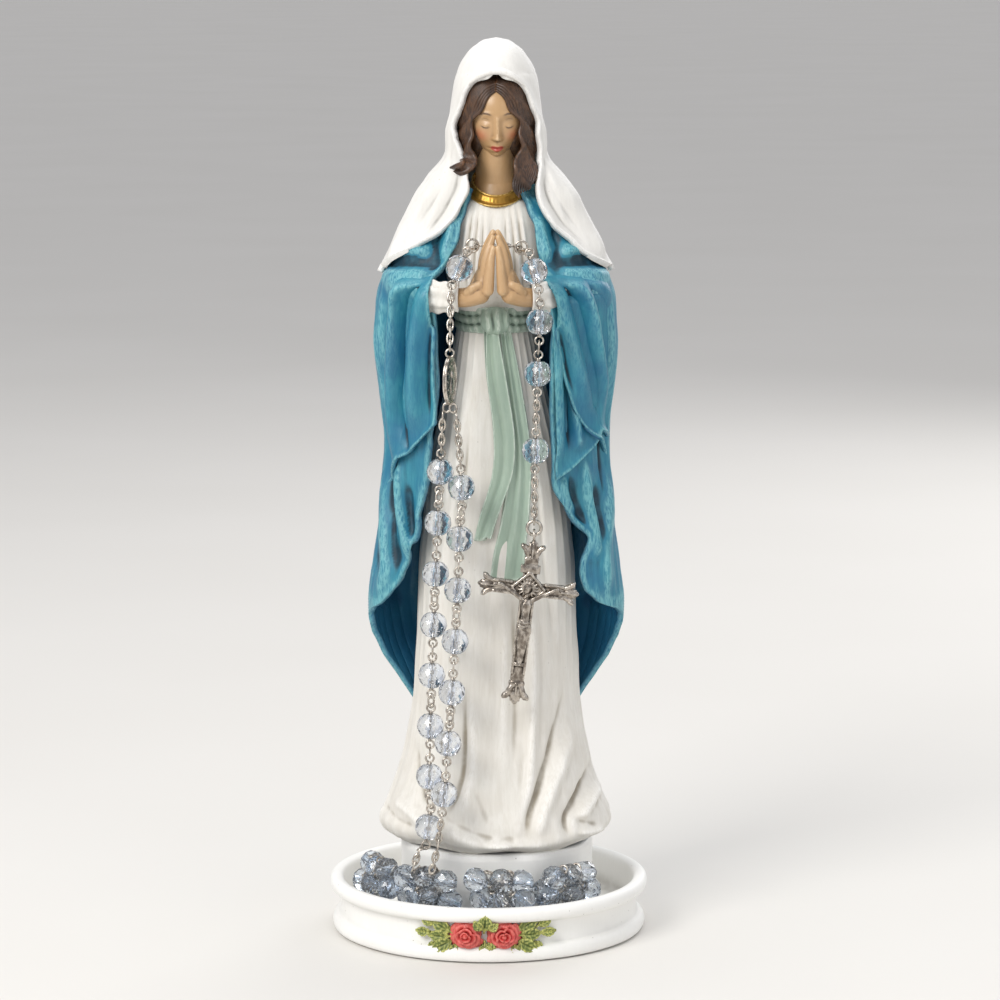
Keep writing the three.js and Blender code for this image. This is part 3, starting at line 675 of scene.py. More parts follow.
def bodiceCloth(u, v):
    turn = u * math.tau
    z = 160.5 + (27.7 + 1.2 * (1 + np.sin(turn))) * v
    x, _, _ = onSection(bodice["levels"], turn, z, 0, bodice["square"])
    pleats = np.array(bodice["pleats"]) - figureX
    ridges = [(0.5, 0.5, [(figureX + at * 1.12, 161), (figureX + at, 174), (figureX + at * 0.72, 190)])
              for at in pleats]
    valleys = [(-0.35, 0.45, [(figureX + at + 0.95, 162), (figureX + at + 0.95, 175),
                              (figureX + (at + 0.9) * 0.74, 189)]) for at in pleats[:-1]]
    out = foldField(x, z, ridges + valleys, 1.6) * frontWeight(turn)
    return onSection(bodice["levels"], turn, z, out, bodice["square"])


gownSkirt = drape("gownSkirtCloth", 300, 250, skirtCloth, closed=True)
statuePart(gownSkirt, (22, 0.46), gownCreamPaint, "gown_cream", "gown_skirt")
gownBodice = drape("gownBodiceCloth", 200, 90, bodiceCloth, closed=True)
statuePart(gownBodice, (8, 0.18), gownCreamPaint, "gown_cream", "gown_bodice")
print("gown draped")

mantle = {
    "wall": 1.5, "hem": 57, "top": 191.5,
    "levels": [(57, 24.3, 15, 19.8), (65, 28.2, 16.5, 21.3), (74, 31.6, 17.5, 22.3), (82.5, 32.8, 18, 22.8),
               (95, 31.6, 18, 22.8), (112, 29.4, 17.5, 22.3), (127, 28.4, 17, 21.8), (142, 29.4, 18, 21.8),
               (157, 30.4, 19, 21.3), (166, 29.6, 19, 20.4), (173, 26.2, 15.6, 18.9), (181, 21.2, 12.6, 16.3),
               (187, 16.8, 10.8, 13.3), (191.5, 10.3, 8.8, 10.8)],
    "left": [(79, -31), (82.5, -29.8), (85, -28), (90, -24), (97, -20.3), (104, -18.2), (112, -16.6),
             (118, -15.4), (124, -15), (130, -14.2), (140, -13), (150, -12.8), (160, -13.2), (166, -13.8),
             (170, -13), (174, -9.6), (178, -7.6), (184, -6.4), (191.5, -4.6)],
    "right": [(79, 34.4), (82.5, 33), (86.5, 28.4), (90, 25), (95, 23.6), (100, 25), (103.5, 25.2),
              (106.5, 23), (111, 19.4), (116, 16.8), (122, 16.6), (135, 16), (150, 16), (163, 16.4),
              (168, 15.6), (174, 12.8), (184, 10.9), (191.5, 8.8)],
    "folds": [
        (1.5, 4.2, [(-27, 166), (-20, 168), (-13, 167.4)]),
        (-1.0, 1.3, [(-30, 171), (-21, 171.4), (-11, 172)]),
        (1.3, 1.6, [(-28, 173.6), (-20, 176.2), (-12, 175)]),
        (1.1, 1.2, [(-27, 169.4), (-19, 171), (-12, 170.4)]), (1.5, 4.2, [(31, 166), (24, 168), (17, 167.6)]),
        (-1.0, 1.3, [(34, 171), (25, 171.8), (15, 172.4)]),
        (1.3, 1.6, [(32, 173.6), (24, 176.4), (16, 175.4)]),
        (1.1, 1.2, [(31, 169.4), (23, 171.2), (16, 170.6)]),
        (1.0, 1.8, [(-25.5, 172), (-27.6, 150), (-27.6, 128), (-28.4, 100)]),
        (-1.3, 1.1, [(-23.6, 172), (-25, 150), (-25, 128), (-25.6, 100)]),
        (1.0, 1.8, [(29.5, 172), (31, 150), (31, 128), (31.4, 100)]),
        (-1.3, 1.1, [(27, 172), (28.6, 150), (29, 128), (29.4, 100)]),
        (1.1, 1.5, [(-7.6, 186), (-9.6, 179), (-11, 172)]),
        (-0.9, 0.9, [(-11.4, 182), (-13.6, 177), (-13.6, 172.4)]),
        (1.1, 1.5, [(11.6, 186), (13.6, 179), (15, 172)]),
        (-0.9, 0.9, [(15.6, 182), (17.6, 177), (17.2, 172.4)]),
        (1.3, 1.4, [(-22.6, 126), (-22.4, 112), (-20.6, 103), (-20, 97)]),
        (-1.1, 1.2, [(-20.4, 118), (-20, 108), (-19, 102)]),
        (1.1, 1.5, [(-26, 120), (-26.4, 105), (-26, 94), (-29, 86)]),
        (-1.0, 1.2, [(-24.4, 118), (-24.4, 104), (-23.4, 94)]),
        (-0.9, 1.4, [(-28.2, 116), (-29, 102), (-29, 92)]),
        (0.7, 1.0, [(-17.6, 112), (-17.2, 106), (-18.8, 100)]),
        (1.3, 1.5, [(24, 126), (25, 114), (27.6, 103), (27, 96)]),
        (-1.2, 1.2, [(20.6, 120), (22, 112), (25, 106)]),
        (1.1, 1.5, [(29, 122), (30, 108), (29.6, 96), (31.4, 86)]),
        (-1.0, 1.2, [(27, 118), (28, 108), (28.6, 96)]), (0.9, 1.2, [(18.8, 120), (20, 114), (23, 108.6)]),
    ],
    "backFolds": [
        (1.8, 2.8, [(2, 182), (0, 150), (-3, 110), (-4, 58)]),
        (1.5, 2.4, [(10, 176), (10, 146), (9, 104), (7, 58)]),
        (1.5, 2.6, [(-8, 176), (-10, 146), (-14, 106), (-16, 62)]),
        (1.4, 2.4, [(18, 172), (19, 140), (19, 102), (18, 60)]),
        (1.3, 2.2, [(-17, 170), (-20, 138), (-23, 104), (-25, 74)]),
        (1.3, 2.2, [(25, 166), (27, 138), (28, 106), (27, 72)]),
        (-1.2, 2.0, [(5, 178), (5, 140), (3, 100), (1, 58)]),
        (-1.2, 2.0, [(-4, 176), (-6, 140), (-9, 100), (-10, 58)]),
        (-1.1, 2.0, [(14, 172), (15, 138), (14, 100), (12, 58)]),
        (-1.1, 2.0, [(-13, 170), (-16, 138), (-19, 100), (-20, 66)]),
        (-1.0, 1.8, [(22, 168), (23, 140), (24, 104), (23, 66)]),
    ],
}


def frontEdges(look, z):  # the turns at which a cloth's two front edges lie, from each side
    w = np.maximum(sectionAt(look["levels"], z)[0], 0.02)
    atEdge = z + look.get("lower", 0) * step(212, 218, z)
    return [np.arccos(np.clip(side * (edgeAt(atEdge, look[name]) - figureX) / w, -1, 0.999))
            for side, name in ((1, "right"), (-1, "left"))]


def mantleEnds(z):
    right, left = frontEdges(mantle, z)
    behind = np.radians(np.interp(z, [57, 66, 74, 80], [30, 20, 11, 0]))
    low = step(86, 80, z)
    right, left = right * (1 - low), left * (1 - low)
    return -right + behind, math.pi + left - behind


def mantleShell(u, v):
    z = mantle["hem"] + (mantle["top"] - mantle["hem"]) * v
    start, end = mantleEnds(z)
    turn = start + (end - start) * u
    x, y, _ = onSection(mantle["levels"], turn, z)
    front = frontWeight(turn)
    out = 1.5 * foldField(x, z, mantle["folds"]) * front
    out += 1.2 * foldField(x, z, mantle["backFolds"], 1.6) * (1 - front) * step(194, 178, z)
    out += flutes(turn, z, 46, 0.18, 1.2, 0.4) + 0.16 * wobble(x, z, 6, 1.1)
    edge = np.minimum(u * (end - start), (1 - u) * (end - start)) * 30
    out += 0.5 * bell(edge, 1.3) * step(96, 110, z)  # a rolled front edge
    x, y, z = onSection(mantle["levels"], turn, z, out)
    hemDip = 0.8 * np.sin(turn * 7) * step(70, 57, z)
    return x, y, z + hemDip


def mantlePart(piece, relief, *nodes):
    count = len(piece.data.vertices)
    paintMask(piece, "lining", np.arange(count) >= count // 2)  # the inside's points come last
    return statuePart(piece, relief, mantleBluePaint, "mantle_blue", *nodes)


mantleCloth = drape("mantleCloth", 250, 180, mantleShell, mantle["wall"], facing=figureMiddle)
mantlePart(mantleCloth, (20, 0.27), "mantle")
print("mantle draped")

# The cloth that hangs from each forearm, as a second layer over the mantle.
sleeves = {
    "left": {
        "inner": [(110, -16.5), (118, -15), (124, -14.6), (134, -12.5), (147, -13), (160, -13.4),
                  (169, -13.2)],
        "hem": [(0, 132.5), (0.1, 128), (0.2, 124.6), (0.3, 123.2), (0.42, 120), (0.6, 115), (1, 108)],
        "out": [(0, 2.2), (0.3, 1.9), (0.48, 0.7), (0.64, -0.7), (1, -2.2)], "end": 12, "top": 172.4,
        "folds": [
            (1.5, 2.3, [(-12.5, 169), (-16.4, 163), (-18.2, 152), (-18.6, 138), (-17.4, 128)]),
            (-2.3, 0.9, [(-13, 169.6), (-18.4, 166), (-20.8, 160), (-21.8, 147), (-21.8, 133), (-19.6, 123)]),
            (1.6, 1.3, [(-15, 170.6), (-21.6, 166.8), (-23.6, 158), (-24.2, 145), (-24.2, 130), (-23, 118)]),
            (-2.1, 0.9, [(-19, 170.4), (-24.6, 166), (-26.2, 158), (-26.6, 142), (-26, 122), (-24, 108)]),
            (1.1, 2.2, [(-24, 169), (-28.6, 160), (-29.4, 146), (-29.4, 126)]),
            (-1.0, 0.6, [(-13.4, 164), (-14.6, 154), (-15, 142), (-14.6, 134)]),
        ],
    },
    "rightUnder": {
        "inner": [(112, 18), (118, 16.6), (126, 16.4), (147, 15.8), (160, 15.4), (169, 14.6)],
        "hem": [(0, 118.6), (0.12, 120.6), (0.3, 124.6), (0.5, 128.5), (0.75, 122), (1, 114)],
        "out": [(0, 1.4), (0.4, 1.1), (0.7, -0.2), (1, -1.6)], "end": 10, "top": 168.6,
        "folds": [
            (1.1, 1.5, [(17.6, 160), (17.8, 145), (18, 130), (17.6, 121)]),
            (-1.5, 0.8, [(19.2, 150), (20, 138), (20.4, 125)]),
            (1.0, 1.2, [(21, 138), (22.4, 131), (22.8, 125)]),
        ],
    },
    "rightOver": {
        "inner": [(120, 27), (128.6, 26.2), (130, 24.6), (135, 21), (141.5, 18.9), (152, 17), (163.5, 15.7),
                  (170, 13.6)],
        "hem": [(0, 128.4), (0.2, 130.4), (0.45, 128.5), (0.75, 121), (1, 114)],
        "out": [(0, 2.6), (0.25, 2.2), (0.45, 0.7), (0.6, -0.7), (1, -2.2)], "end": 14, "top": 172.6,
        "folds": [
            (1.5, 2.2, [(13.4, 170), (18, 163.5), (20.8, 153), (23.4, 143), (25.6, 134)]),
            (-2.4, 0.95, [(15.4, 171), (21.6, 163.6), (24.6, 153), (27, 142), (28.2, 132)]),
            (1.5, 1.3, [(19, 171), (25, 163.6), (27.6, 152), (29.2, 141), (29.4, 132)]),
            (-2.1, 0.9, [(22.6, 170), (28, 162.4), (30, 150), (30.8, 138), (30.6, 128)]),
            (1.1, 1.8, [(28, 169), (31.8, 160), (32.6, 146)]),
            (-1.0, 0.6, [(15, 167), (17.6, 157), (19.4, 148), (21.6, 139)]),
        ],
    },
}


def sleeveCloth(look, side):
    def shape(u, v):
        hemZ = np.interp(u, *zip(*look["hem"]))
        z = hemZ + (look["top"] - hemZ) * v
        lean = (edgeAt(z, look["inner"]) - figureX) * side / sectionAt(mantle["levels"], z)[0]
        lean = np.arccos(np.clip(lean, -1, 0.999))
        lean = -lean * (1 - u) + math.radians(look["end"]) * u
        turn = lean if side > 0 else math.pi - lean
        tuck = step(0.88, 1.0, v)  # the top sinks into the mantle
        lift = np.interp(u, *zip(*look["out"])) * (1 - tuck) - 2.4 * tuck
        x, _, _ = onSection(mantle["levels"], turn, z, lift)
        out = lift + foldField(x, z, look["folds"]) * 1.5 * step(0.75, 0.5, u) * step(1.0, 0.9, v)
        out += 0.12 * wobble(x, z, 3.4, side)
        crook = [(figureX + side * across, high) for across, high in ((29, 165.6), (22, 167.6), (13, 167.4))]
        out += 1.6 * foldField(x, z, [(1, 3.6, crook)])
        out += 0.5 * bell(v, 0.03) + 0.45 * bell(u, 0.035)
        return onSection(mantle["levels"], turn, z, out)
    return shape


for name, look in sleeves.items():
    side = -1 if name == "left" else 1
    sleeve = drape(f"mantleSleeve_{name}", 130, 150, sleeveCloth(look, side), 1.1, facing=figureMiddle)
    mantlePart(sleeve, (16, 0.27))
print("sleeves hung")

veil = {
    "wall": 1.5, "lower": 0.9, "lipHalf": 7.6,
    "levels": [(170.4, 29.5, 18.2, 21.2), (176, 26.8, 16.6, 20.4), (183, 23.2, 14, 17.8),
               (190, 19.6, 12.5, 14.8), (194, 17.2, 11.9, 13.2), (198, 13.5, 11.7, 12.3),
               (206, 11.9, 11.9, 12.1), (213, 11.1, 11.7, 11.9), (219, 10.1, 10.6, 10.9),
               (223.5, 8, 8.5, 8.9), (226.8, 4.8, 5.4, 5.6), (228.2, 1.9, 2.1, 2.1),
               (228.5, 0.02, 0.02, 0.02)],
    "left": [(170.4, -28.6), (173, -25.4), (175.5, -21), (178.5, -16), (181, -11.8), (183, -9.6), (188, -6.2),
             (191, -4.9), (195, -5.2), (201.5, -7.2), (207, -8.2), (212, -6.6), (216, -5.4), (217.6, -4.6),
             (218.8, -3.7), (219.6, -2.6), (220.2, -1.2), (220.55, 0.3), (220.7, 2), (221, 2), (229, 2)],
    "right": [(170.4, 32.2), (172, 30.4), (174.5, 25.5), (179, 20.5), (183, 15.8), (187, 13.4), (192, 12.4),
              (196.5, 12.8), (200, 12.6), (204.5, 12.2), (208.5, 12.2), (212, 11), (215.5, 9.9), (217.6, 8.8),
              (218.8, 7.8), (219.6, 6.6), (220.2, 5.2), (220.55, 3.7), (220.7, 2), (221, 2), (229, 2)],
    "folds": [
        (0.7, 1.5, [(-7, 217), (-9.6, 208), (-9.6, 199), (-12, 191), (-17, 182)]),
        (-0.7, 1.0, [(-8.6, 203), (-9.8, 196), (-13, 189), (-20, 179)]),
        (0.9, 1.4, [(-12, 196), (-16, 188), (-22, 178), (-26, 172)]),
        (-0.8, 1.0, [(-7.4, 197), (-8.6, 191), (-12.6, 184), (-19, 177)]),
        (0.7, 1.3, [(-15, 194), (-20, 186), (-25, 176)]), (0.6, 1.0, [(-6, 196), (-7, 190), (-9.6, 185)]),
        (0.7, 1.5, [(11, 217), (13.6, 208), (13.8, 199), (17, 191), (22, 182)]),
        (-0.7, 1.0, [(13, 203), (14.4, 196), (18, 188), (25, 178)]),
        (0.9, 1.4, [(16.6, 196), (21, 188), (27, 178), (31, 172)]),
        (-0.8, 1.0, [(14.4, 197), (15, 190), (19, 183), (26, 176)]),
        (0.7, 1.3, [(19, 194), (25, 185), (30, 175)]), (-0.4, 1.0, [(-2, 223), (-6, 218), (-8, 211)]),
        (-0.4, 1.0, [(6, 223), (10, 218), (12, 211)]),
    ],
    "backFolds": [
        (1.0, 2.0, [(2, 215), (1, 200), (0, 186), (-2, 171)]),
        (0.9, 1.8, [(7, 212), (9, 198), (12, 184), (14, 171)]),
        (0.9, 1.8, [(-4, 212), (-7, 198), (-12, 184), (-15, 171)]),
        (0.8, 1.8, [(11, 205), (15, 193), (21, 180), (25, 171)]),
        (0.8, 1.8, [(-7, 205), (-12, 193), (-18, 180), (-23, 171)]),
        (-0.8, 1.6, [(4, 208), (5, 194), (6, 171)]), (-0.8, 1.6, [(-1, 208), (-4, 194), (-8, 171)]),
    ],
}


def veilShell(u, v):
    z = np.interp(v, [0, 0.63, 0.8, 0.91, 1], [170.4, 213, 218.1, 219.9, 228.5])
    w, _, _ = sectionAt(veil["levels"], z)
    right, left = frontEdges(veil, z)
    start, end = -right, math.pi + left
    turn = start + (end - start) * u
    x, _, _ = onSection(veil["levels"], turn, z)
    front = frontWeight(turn)
    cap = step(228.4, 224, z)
    out = 1.4 * foldField(x, z, veil["folds"], 1.7) * front * cap
    out += foldField(x, z, veil["backFolds"], 1.7) * (1 - front) * step(222, 208, z)
    out += (flutes(turn, z, 30, 0.16, 1.0, 0.8) + 0.12 * wobble(x, z, 4, 2.2)) * cap
    edge = np.hypot(np.minimum(u, 1 - u) * (end - start) * np.maximum(w, 5), 1.6 * np.maximum(z - 219.8, 0))
    smoothPart = step(205, 214, z) * step(9, 4, edge)  # the hood is even round the face
    out = out * (1 - smoothPart) + 0.6 * bell(edge, 1.6)
    x, y, z = onSection(veil["levels"], turn, z, out)
    hem = step(180, 171, z) * (0.7 * np.sin(turn * 9) + 0.4 * np.sin(turn * 5 + 1))
    return x, y, z + hem * (1 - front * 0.7)


veilCloth = drape("veilCloth", 250, 165, veilShell, facing=figureMiddle)
closeSeams(veilCloth, 0.03, outside=False)
at = pointsOf(veilCloth) / mm
brow = np.hypot(at[:, 0] - figureX, (at[:, 2] - 220.4) * 1.3)
relax(veilCloth, 0.8 * step(13, 5, brow) * step(-1, -4, at[:, 1]), 14)
turnOutwards(veilCloth, figureMiddle)
across = np.linspace(-1, 1, 33)
lipZ = 220.5 - 4.1 * across**2
lipW, lipF, _ = sectionAt(veil["levels"], lipZ)
lipX = veil["lipHalf"] * across
lipY = -(lipF + 0.2) * np.sqrt(1 - (lipX / lipW) ** 2)
veilLip = tube("veilLip", np.stack([figureX + lipX, lipY, lipZ], 1), [0.3, 0.85, 0.95, 0.85, 0.3], 18)
veilCloth = joined("veilCloth", [thicken(veilCloth, veil["wall"]), veilLip])
statuePart(veilCloth, (16, 0.36), veilWhitePaint, "veil_white", "veil")
print("veil draped")

# Sash
sash = {
    "belt": [(155, 9.6, 11.8, 11.2), (158.3, 9.8, 12, 11.4), (161.6, 9.9, 12.1, 11.4)],
    "knot": ((1.8, -13.7, 158.4), (3.9, 2.1, 3.5)),
    "front": {"line": [(1, 155.6), (2, 145), (4, 130), (3.6, 120), (0.4, 110), (-1.4, 103.6)],
              "half": [1.6, 2.4, 2.7, 2.7, 2.5, 2.2], "out": 1.9, "folds": [-0.25]},
    "rear": {"line": [(4.4, 155.6), (6.4, 142), (8.2, 125), (7, 110), (5.4, 100), (4.8, 92.6)],
             "half": [1.4, 2.0, 2.6, 3.5, 4.1, 4.5], "out": 0.7, "folds": [-0.45, 0.3]},
}


def beltCloth(u, v):
    turn = u * math.tau
    z = 155 + 6.6 * v
    x = figureX + np.cos(turn) * 10
    out = 0.35 + 0.45 * np.abs(np.sin(v * math.pi * 3 + 0.25 * np.sin(x))) + 0.25 * np.sin(v * math.pi)
    out += 0.18 * np.sin(turn * 30 + v * 5) * bell(x - figureX, 7)
    return onSection(sash["belt"], turn, z, out)


def tailCloth(look):
    run = np.linspace(0, 1, 60)
    line = smoothLine(look["line"], len(run))
    half = np.interp(run, np.linspace(0, 1, len(look["half"])), look["half"])

    def shape(u, v):
        side = (u - 0.5) * 2
        x, z, reach = (np.interp(1 - v, run, column) for column in (*line.T, half))
        x = x + side * reach
        z = z + 0.6 * side * (1 - v)
        w, f, _ = sectionAt(skirt["levels"], z)
        y = -f * np.sqrt(np.clip(1 - ((x - figureX) / w) ** 2, 0.04, 1))
        y -= look["out"] + 0.35 * np.cos(side * 1.4)
        for fold in look["folds"]:
            y += 0.7 * bell(side - fold - 0.18 * np.sin(v * 5), 0.3)
        y -= 0.2 * bell(np.abs(side) - 0.93, 0.1)  # a rolled selvedge
        return x, y, z + 0.3 * np.sin(side * 5) * step(0.05, 0, v)
    return shape


def sashPart(piece, relief, node):
    return statuePart(piece, relief, sashSagePaint, "sash_sage", node)


sashPart(drape("sashBeltCloth", 220, 26, beltCloth, 0.5, closed=True), (7, 0.09), "sash_belt")
for name in ("front", "rear"):
    tail = drape(f"sashTail_{name}", 36, 150, tailCloth(sash[name]), 1.1, facing=figureMiddle)
    sashPart(tail, (9, 0.13), f"sash_tail_{name}")
(knotX, _, knotZ), (knotWide, _, knotTall) = sash["knot"]
knot = ball("sashKnotCloth", *sash["knot"], 80, 56)
at = pointsOf(knot) / mm
nx, nz = (at[:, 0] - knotX) / knotWide, (at[:, 2] - knotZ) / knotTall
pleat = 0.32 * np.sin(nx * 9 + 0.5 * np.sin(nz * 3)) * np.sqrt(np.clip(1 - nx**2, 0, 1))
at[:, 1] -= pleat * step(-12.6, -13.8, at[:, 1])
at[:, 0] += (at[:, 0] - knotX) * 0.14 * (np.abs(nz) - 0.5)
sashPart(movePoints(knot, at * mm), (7, 0.09), "sash_knot")
print("sash tied")


# Head and hair
face = {
    "centre": (2, -2.5, 208.7), "radii": (7.3, 7.6, 10.3), "drawnChin": 9.4, "bow": 0.2, "turn": 0.05,
    # bumps on the front of the head: height, (x, z), (half width, half height); x is mirrored
    "bumps": [
        (-0.85, (2.75, 0.3), (1.7, 1.15)), (0.72, (2.75, -0.15), (1.2, 0.85)), (0.3, (2.8, 2.2), (2.0, 0.6)),
        (0.38, (3.7, -2.6), (1.8, 2.2)), (0.42, (0.82, -3.35), (0.42, 0.42)),
        (-0.14, (1.85, -5.8), (0.35, 0.35)),
    ],
    "middle": [
        (0.9, (0, -5.6), (2.5, 2.2)), (1.55, (0, -8.0), (2.3, 1.7)), (0.6, (0, -3.1), (0.62, 0.6)),
        (0.36, (0, -5.3), (1.55, 0.36)), (0.4, (0, -6.3), (1.3, 0.42)), (-0.3, (0, -5.8), (1.7, 0.14)),
        (-0.22, (0, -7.0), (1.4, 0.35)), (-0.1, (0, -4.4), (0.25, 0.5)), (0.3, (0, 5), (4, 2.5)),
    ],
}


def paintLine(x, z, line, width):
    return foldField(np.abs(x), z, [(1, width, line)], 3)


head = ball("headCarved", (0, 0, 0), face["radii"], 170, 130)
x, y, z = pointsOf(head).T / mm
drawn = face["drawnChin"] / face["radii"][2]  # the features are drawn on a smaller head
jaw = np.clip(-z / face["radii"][2], 0, 1)
x = x * (1 - 0.24 * jaw**1.7)
x, z = x * drawn, z * drawn
front = step(0.5, -3.5, y)
out = np.zeros(len(x))
for height, (bx, bz), (rx, rz) in face["bumps"] + face["middle"]:
    out += height * bell(np.abs(x) - bx, rx) * bell(z - bz, rz)
along = np.clip((1.9 - z) / 5.2, 0, 1)
bridge = step(2.4, 1.2, z) * step(-4.1, -3.3, z)
out += (0.3 + 1.35 * along) * bell(x, 0.55 + 0.35 * along) * bridge
lips = step(0.95, 0.75, np.hypot(x / 1.75, (z + 5.78 + 0.12 * np.cos(x * 2.6)) / 0.82))
brows = 1.3 * paintLine(x, z, [(1.1, 1.95), (2.8, 2.4), (4.6, 1.75)], 0.22)
lashes = paintLine(x, z, [(1.6, -0.5), (2.75, -0.95), (4.0, -0.45)], 0.16)
lashes += 0.35 * paintLine(x, z, [(1.6, 0.7), (2.75, 1.15), (3.9, 0.7)], 0.13)
blush = bell(np.abs(x) - 3.9, 1.5) * bell(z + 2.9, 1.4)
movePoints(head, np.stack([x / drawn, y - out * front, z / drawn], 1) * mm)
for name, mask in (("lips", lips), ("brows", brows), ("lashes", lashes), ("blush", blush)):
    paintMask(head, name, mask * step(-3.2, -4.2, y))
placed(head, face["centre"], (face["bow"], 0, face["turn"]))
neckLine = [(figureX, y, z) for y, z in ((0.4, 187), (-0.4, 193), (-1.6, 198), (-1.8, 203))]
neck = tube("neckCarved", smoothLine(neckLine, 30), [7.2, 5.4, 4.7, 4.8], 64)
statuePart(joined("headCarved", [head, neck]), (7, 0.16), skinPaint, "skin", "head")

locks = {"count": 11, "wave": 0.5, "thick": [0.35, 0.5, 0.55, 0.55, 0.6, 0.55, 0.2]}


def hairLock(side, k):
    up, low = max(k, 0), min(k, 0)  # the strands below zero frame the forehead
    path = [  # how far sideways, depth, height
        (0.1, -8.6 + 0.4 * up + 0.2 * low, 217.3 + 0.22 * up + 0.55 * low),
        (2.5 + 0.16 * up + 0.1 * low, -9.3 + 0.34 * up + 0.12 * low, 216.2 + 0.3 * up + 0.75 * low),
        (5.0 + 0.22 * up + 0.42 * low, -9.1 + 0.34 * up + 0.2 * low, 212.8 + 0.3 * up + 0.62 * low),
        (6.5 + 0.26 * up + 0.2 * low, -8.2 + 0.42 * up + 0.15 * low, 208),
        (7.2 + 0.24 * k, -7.6 + 0.4 * k, 203), (6.6 + 0.3 * k, -8.4 + 0.3 * k, 199),
    ]
    if side < 0:  # this lock is laid on the veil, the other falls inside it
        path += [(6.6 + 0.2 * k, -11.0 - 0.06 * k, 196.8 + 0.1 * k),
                 (8.6 + 0.14 * k, -10.7 + 0.03 * k, 195.4 + 0.17 * k),
                 (10.8 + 0.06 * k, -9.3 + 0.04 * k, 195.9 + 0.05 * k)]
    else:
        path += [(5.6 + 0.4 * k, -10.4 + 0.1 * k, 194.2), (6.6 + 0.3 * k, -11 + 0.1 * k, 189 + 0.3 * k)]
    line = smoothLine([(figureX + side * x, y, z) for x, y, z in path], 44)
    fall = step(0.12, 0.5, np.linspace(0, 1, len(line)))
    phase = line[:, 2] * 0.95 + k * 0.45
    line[:, 0] += side * locks["wave"] * fall * np.sin(phase)
    line[:, 1] += 0.3 * fall * np.cos(phase)
    return line


bothSides = ((-1, "left"), (1, "right"))
for side, name in bothSides:
    strands = [tube("lock", hairLock(side, k)[::2], locks["thick"], 10) for k in range(-3, locks["count"])]
    back = ball("underHair", (figureX + side * 4.4, -0.4, 208.4), (4.6, 7.0, 10.6), 40, 30)
    statuePart(joined(f"hairLocks_{name}", strands + [back]), (4, 0.24), hairBrownPaint, "hair",
               f"hair_{name}")
print("head and hair carved")


def collarBand(u, v):
    turn = u * math.tau
    forward = -np.sin(turn)
    z = 193.1 - 3.3 * forward - 3.0 * (1 - v) + 0.25 * np.cos(turn * 2)
    out = 1.1 * (1 - v) + 0.75 * bell(v - 0.1, 0.12) + 0.3 * bell(v - 0.92, 0.1)
    out += 0.03 * np.sin(turn * 40) * bell(v - 0.5, 0.25)
    deep = np.where(forward > 0, 5.5, 4.2) + out
    return figureX + np.cos(turn) * (5.8 + out), -3.2 + np.sin(turn) * deep, z


collar = drape("collarBand", 160, 22, collarBand, 0.7, closed=True)
statuePart(collar, (5, 0.14), antiqueGoldPaint, "antique_gold", "collar")

# Hands
# The left hand's fingers, thumb, palm and wrist as (line, radii); the right one is mirrored about the palms.
hands = {
    "palmsMeet": 1.85, "grain": 0.21, "cuff": [(-7.4, -19.6, 164.8), (-15.6, -14.6, 164.6)],
    "parts": [
        ([(-0.3, -23.6, 167), (0.1, -24.0, 171), (0.4, -24.0, 174.4), (0.95, -23.8, 177.4)],
         [1.5, 1.25, 1.05, 0.75]),
        ([(-1.2, -22.4, 168), (-0.9, -22.9, 172.6), (-0.3, -22.9, 176.4), (0.9, -22.7, 180)],
         [1.6, 1.4, 1.15, 0.75]),
        ([(-1.5, -21, 168.4), (-1.4, -21.3, 173.4), (-0.5, -21.4, 177.6), (0.95, -21.3, 181.2)],
         [1.6, 1.4, 1.15, 0.75]),
        ([(-1.5, -19.9, 168), (-1.3, -20, 172.6), (-0.5, -20.1, 176.6), (0.9, -20.1, 180)],
         [1.5, 1.35, 1.1, 0.75]),
        ([(-4.4, -19.8, 165.6), (-3.0, -19.4, 169.4), (-1.4, -19.2, 172.6), (-0.6, -19.4, 174.2)],
         [1.4, 1.2, 1.0, 0.8]),
        ([(-5.2, -22.6, 166.4), (-4.1, -23.6, 167.6), (-2.6, -23.9, 168.4)], [1.2, 1.15, 0.9]),
        ([(-1.2, -21.8, 170.4), (-1.4, -21.8, 168), (-2.6, -21.6, 165.8)], [2.3, 2.7, 2.5]),
        ([(-2.4, -21.7, 166), (-5.4, -20.6, 165), (-9.6, -18, 164.6)], [2.7, 2.5, 2.35]),
    ],
}


def ownSide(side, x):  # the left hand's drawing, or its mirror image
    return 2 * hands["palmsMeet"] - x if side > 0 else x


for side, name in bothSides:
    pieces = []
    for path, radii in hands["parts"]:
        line = [(ownSide(side, x) - side * 0.3, y, z) for x, y, z in path]
        pieces.append(tube("handPart", line, radii, 14))
        for place, radius in ((line[0], radii[0]), (line[-1], radii[-1])):
            pieces.append(ball("handPart", place, (radius, radius, radius), 16, 12))
    hand = recast(joined(f"handCarved_{name}", pieces), hands["grain"], 0.5, 4)
    statuePart(hand, (14, 0.12), skinPaint, "skin", f"hand_{name}")


def cuffCloth(side):
    start, end = np.array(hands["cuff"])

    def shape(u, v):
        turn = u * math.tau
        lift = 3.25 + 0.5 * v + 0.35 * bell(v, 0.07) + 0.28 * np.sin(turn * 7 + v * 3) * step(0.02, 0.3, v)
        lift += 0.2 * np.sin(v * 16 + np.sin(turn) * 2)
        x, y, z = (start + (end - start) * v[:, None]).T
        x += 0.5 * np.cos(turn) * np.sin(0.5)
        return ownSide(side, x), y + np.cos(turn) * lift * 0.95, z + np.sin(turn) * lift * 1.08
    return shape


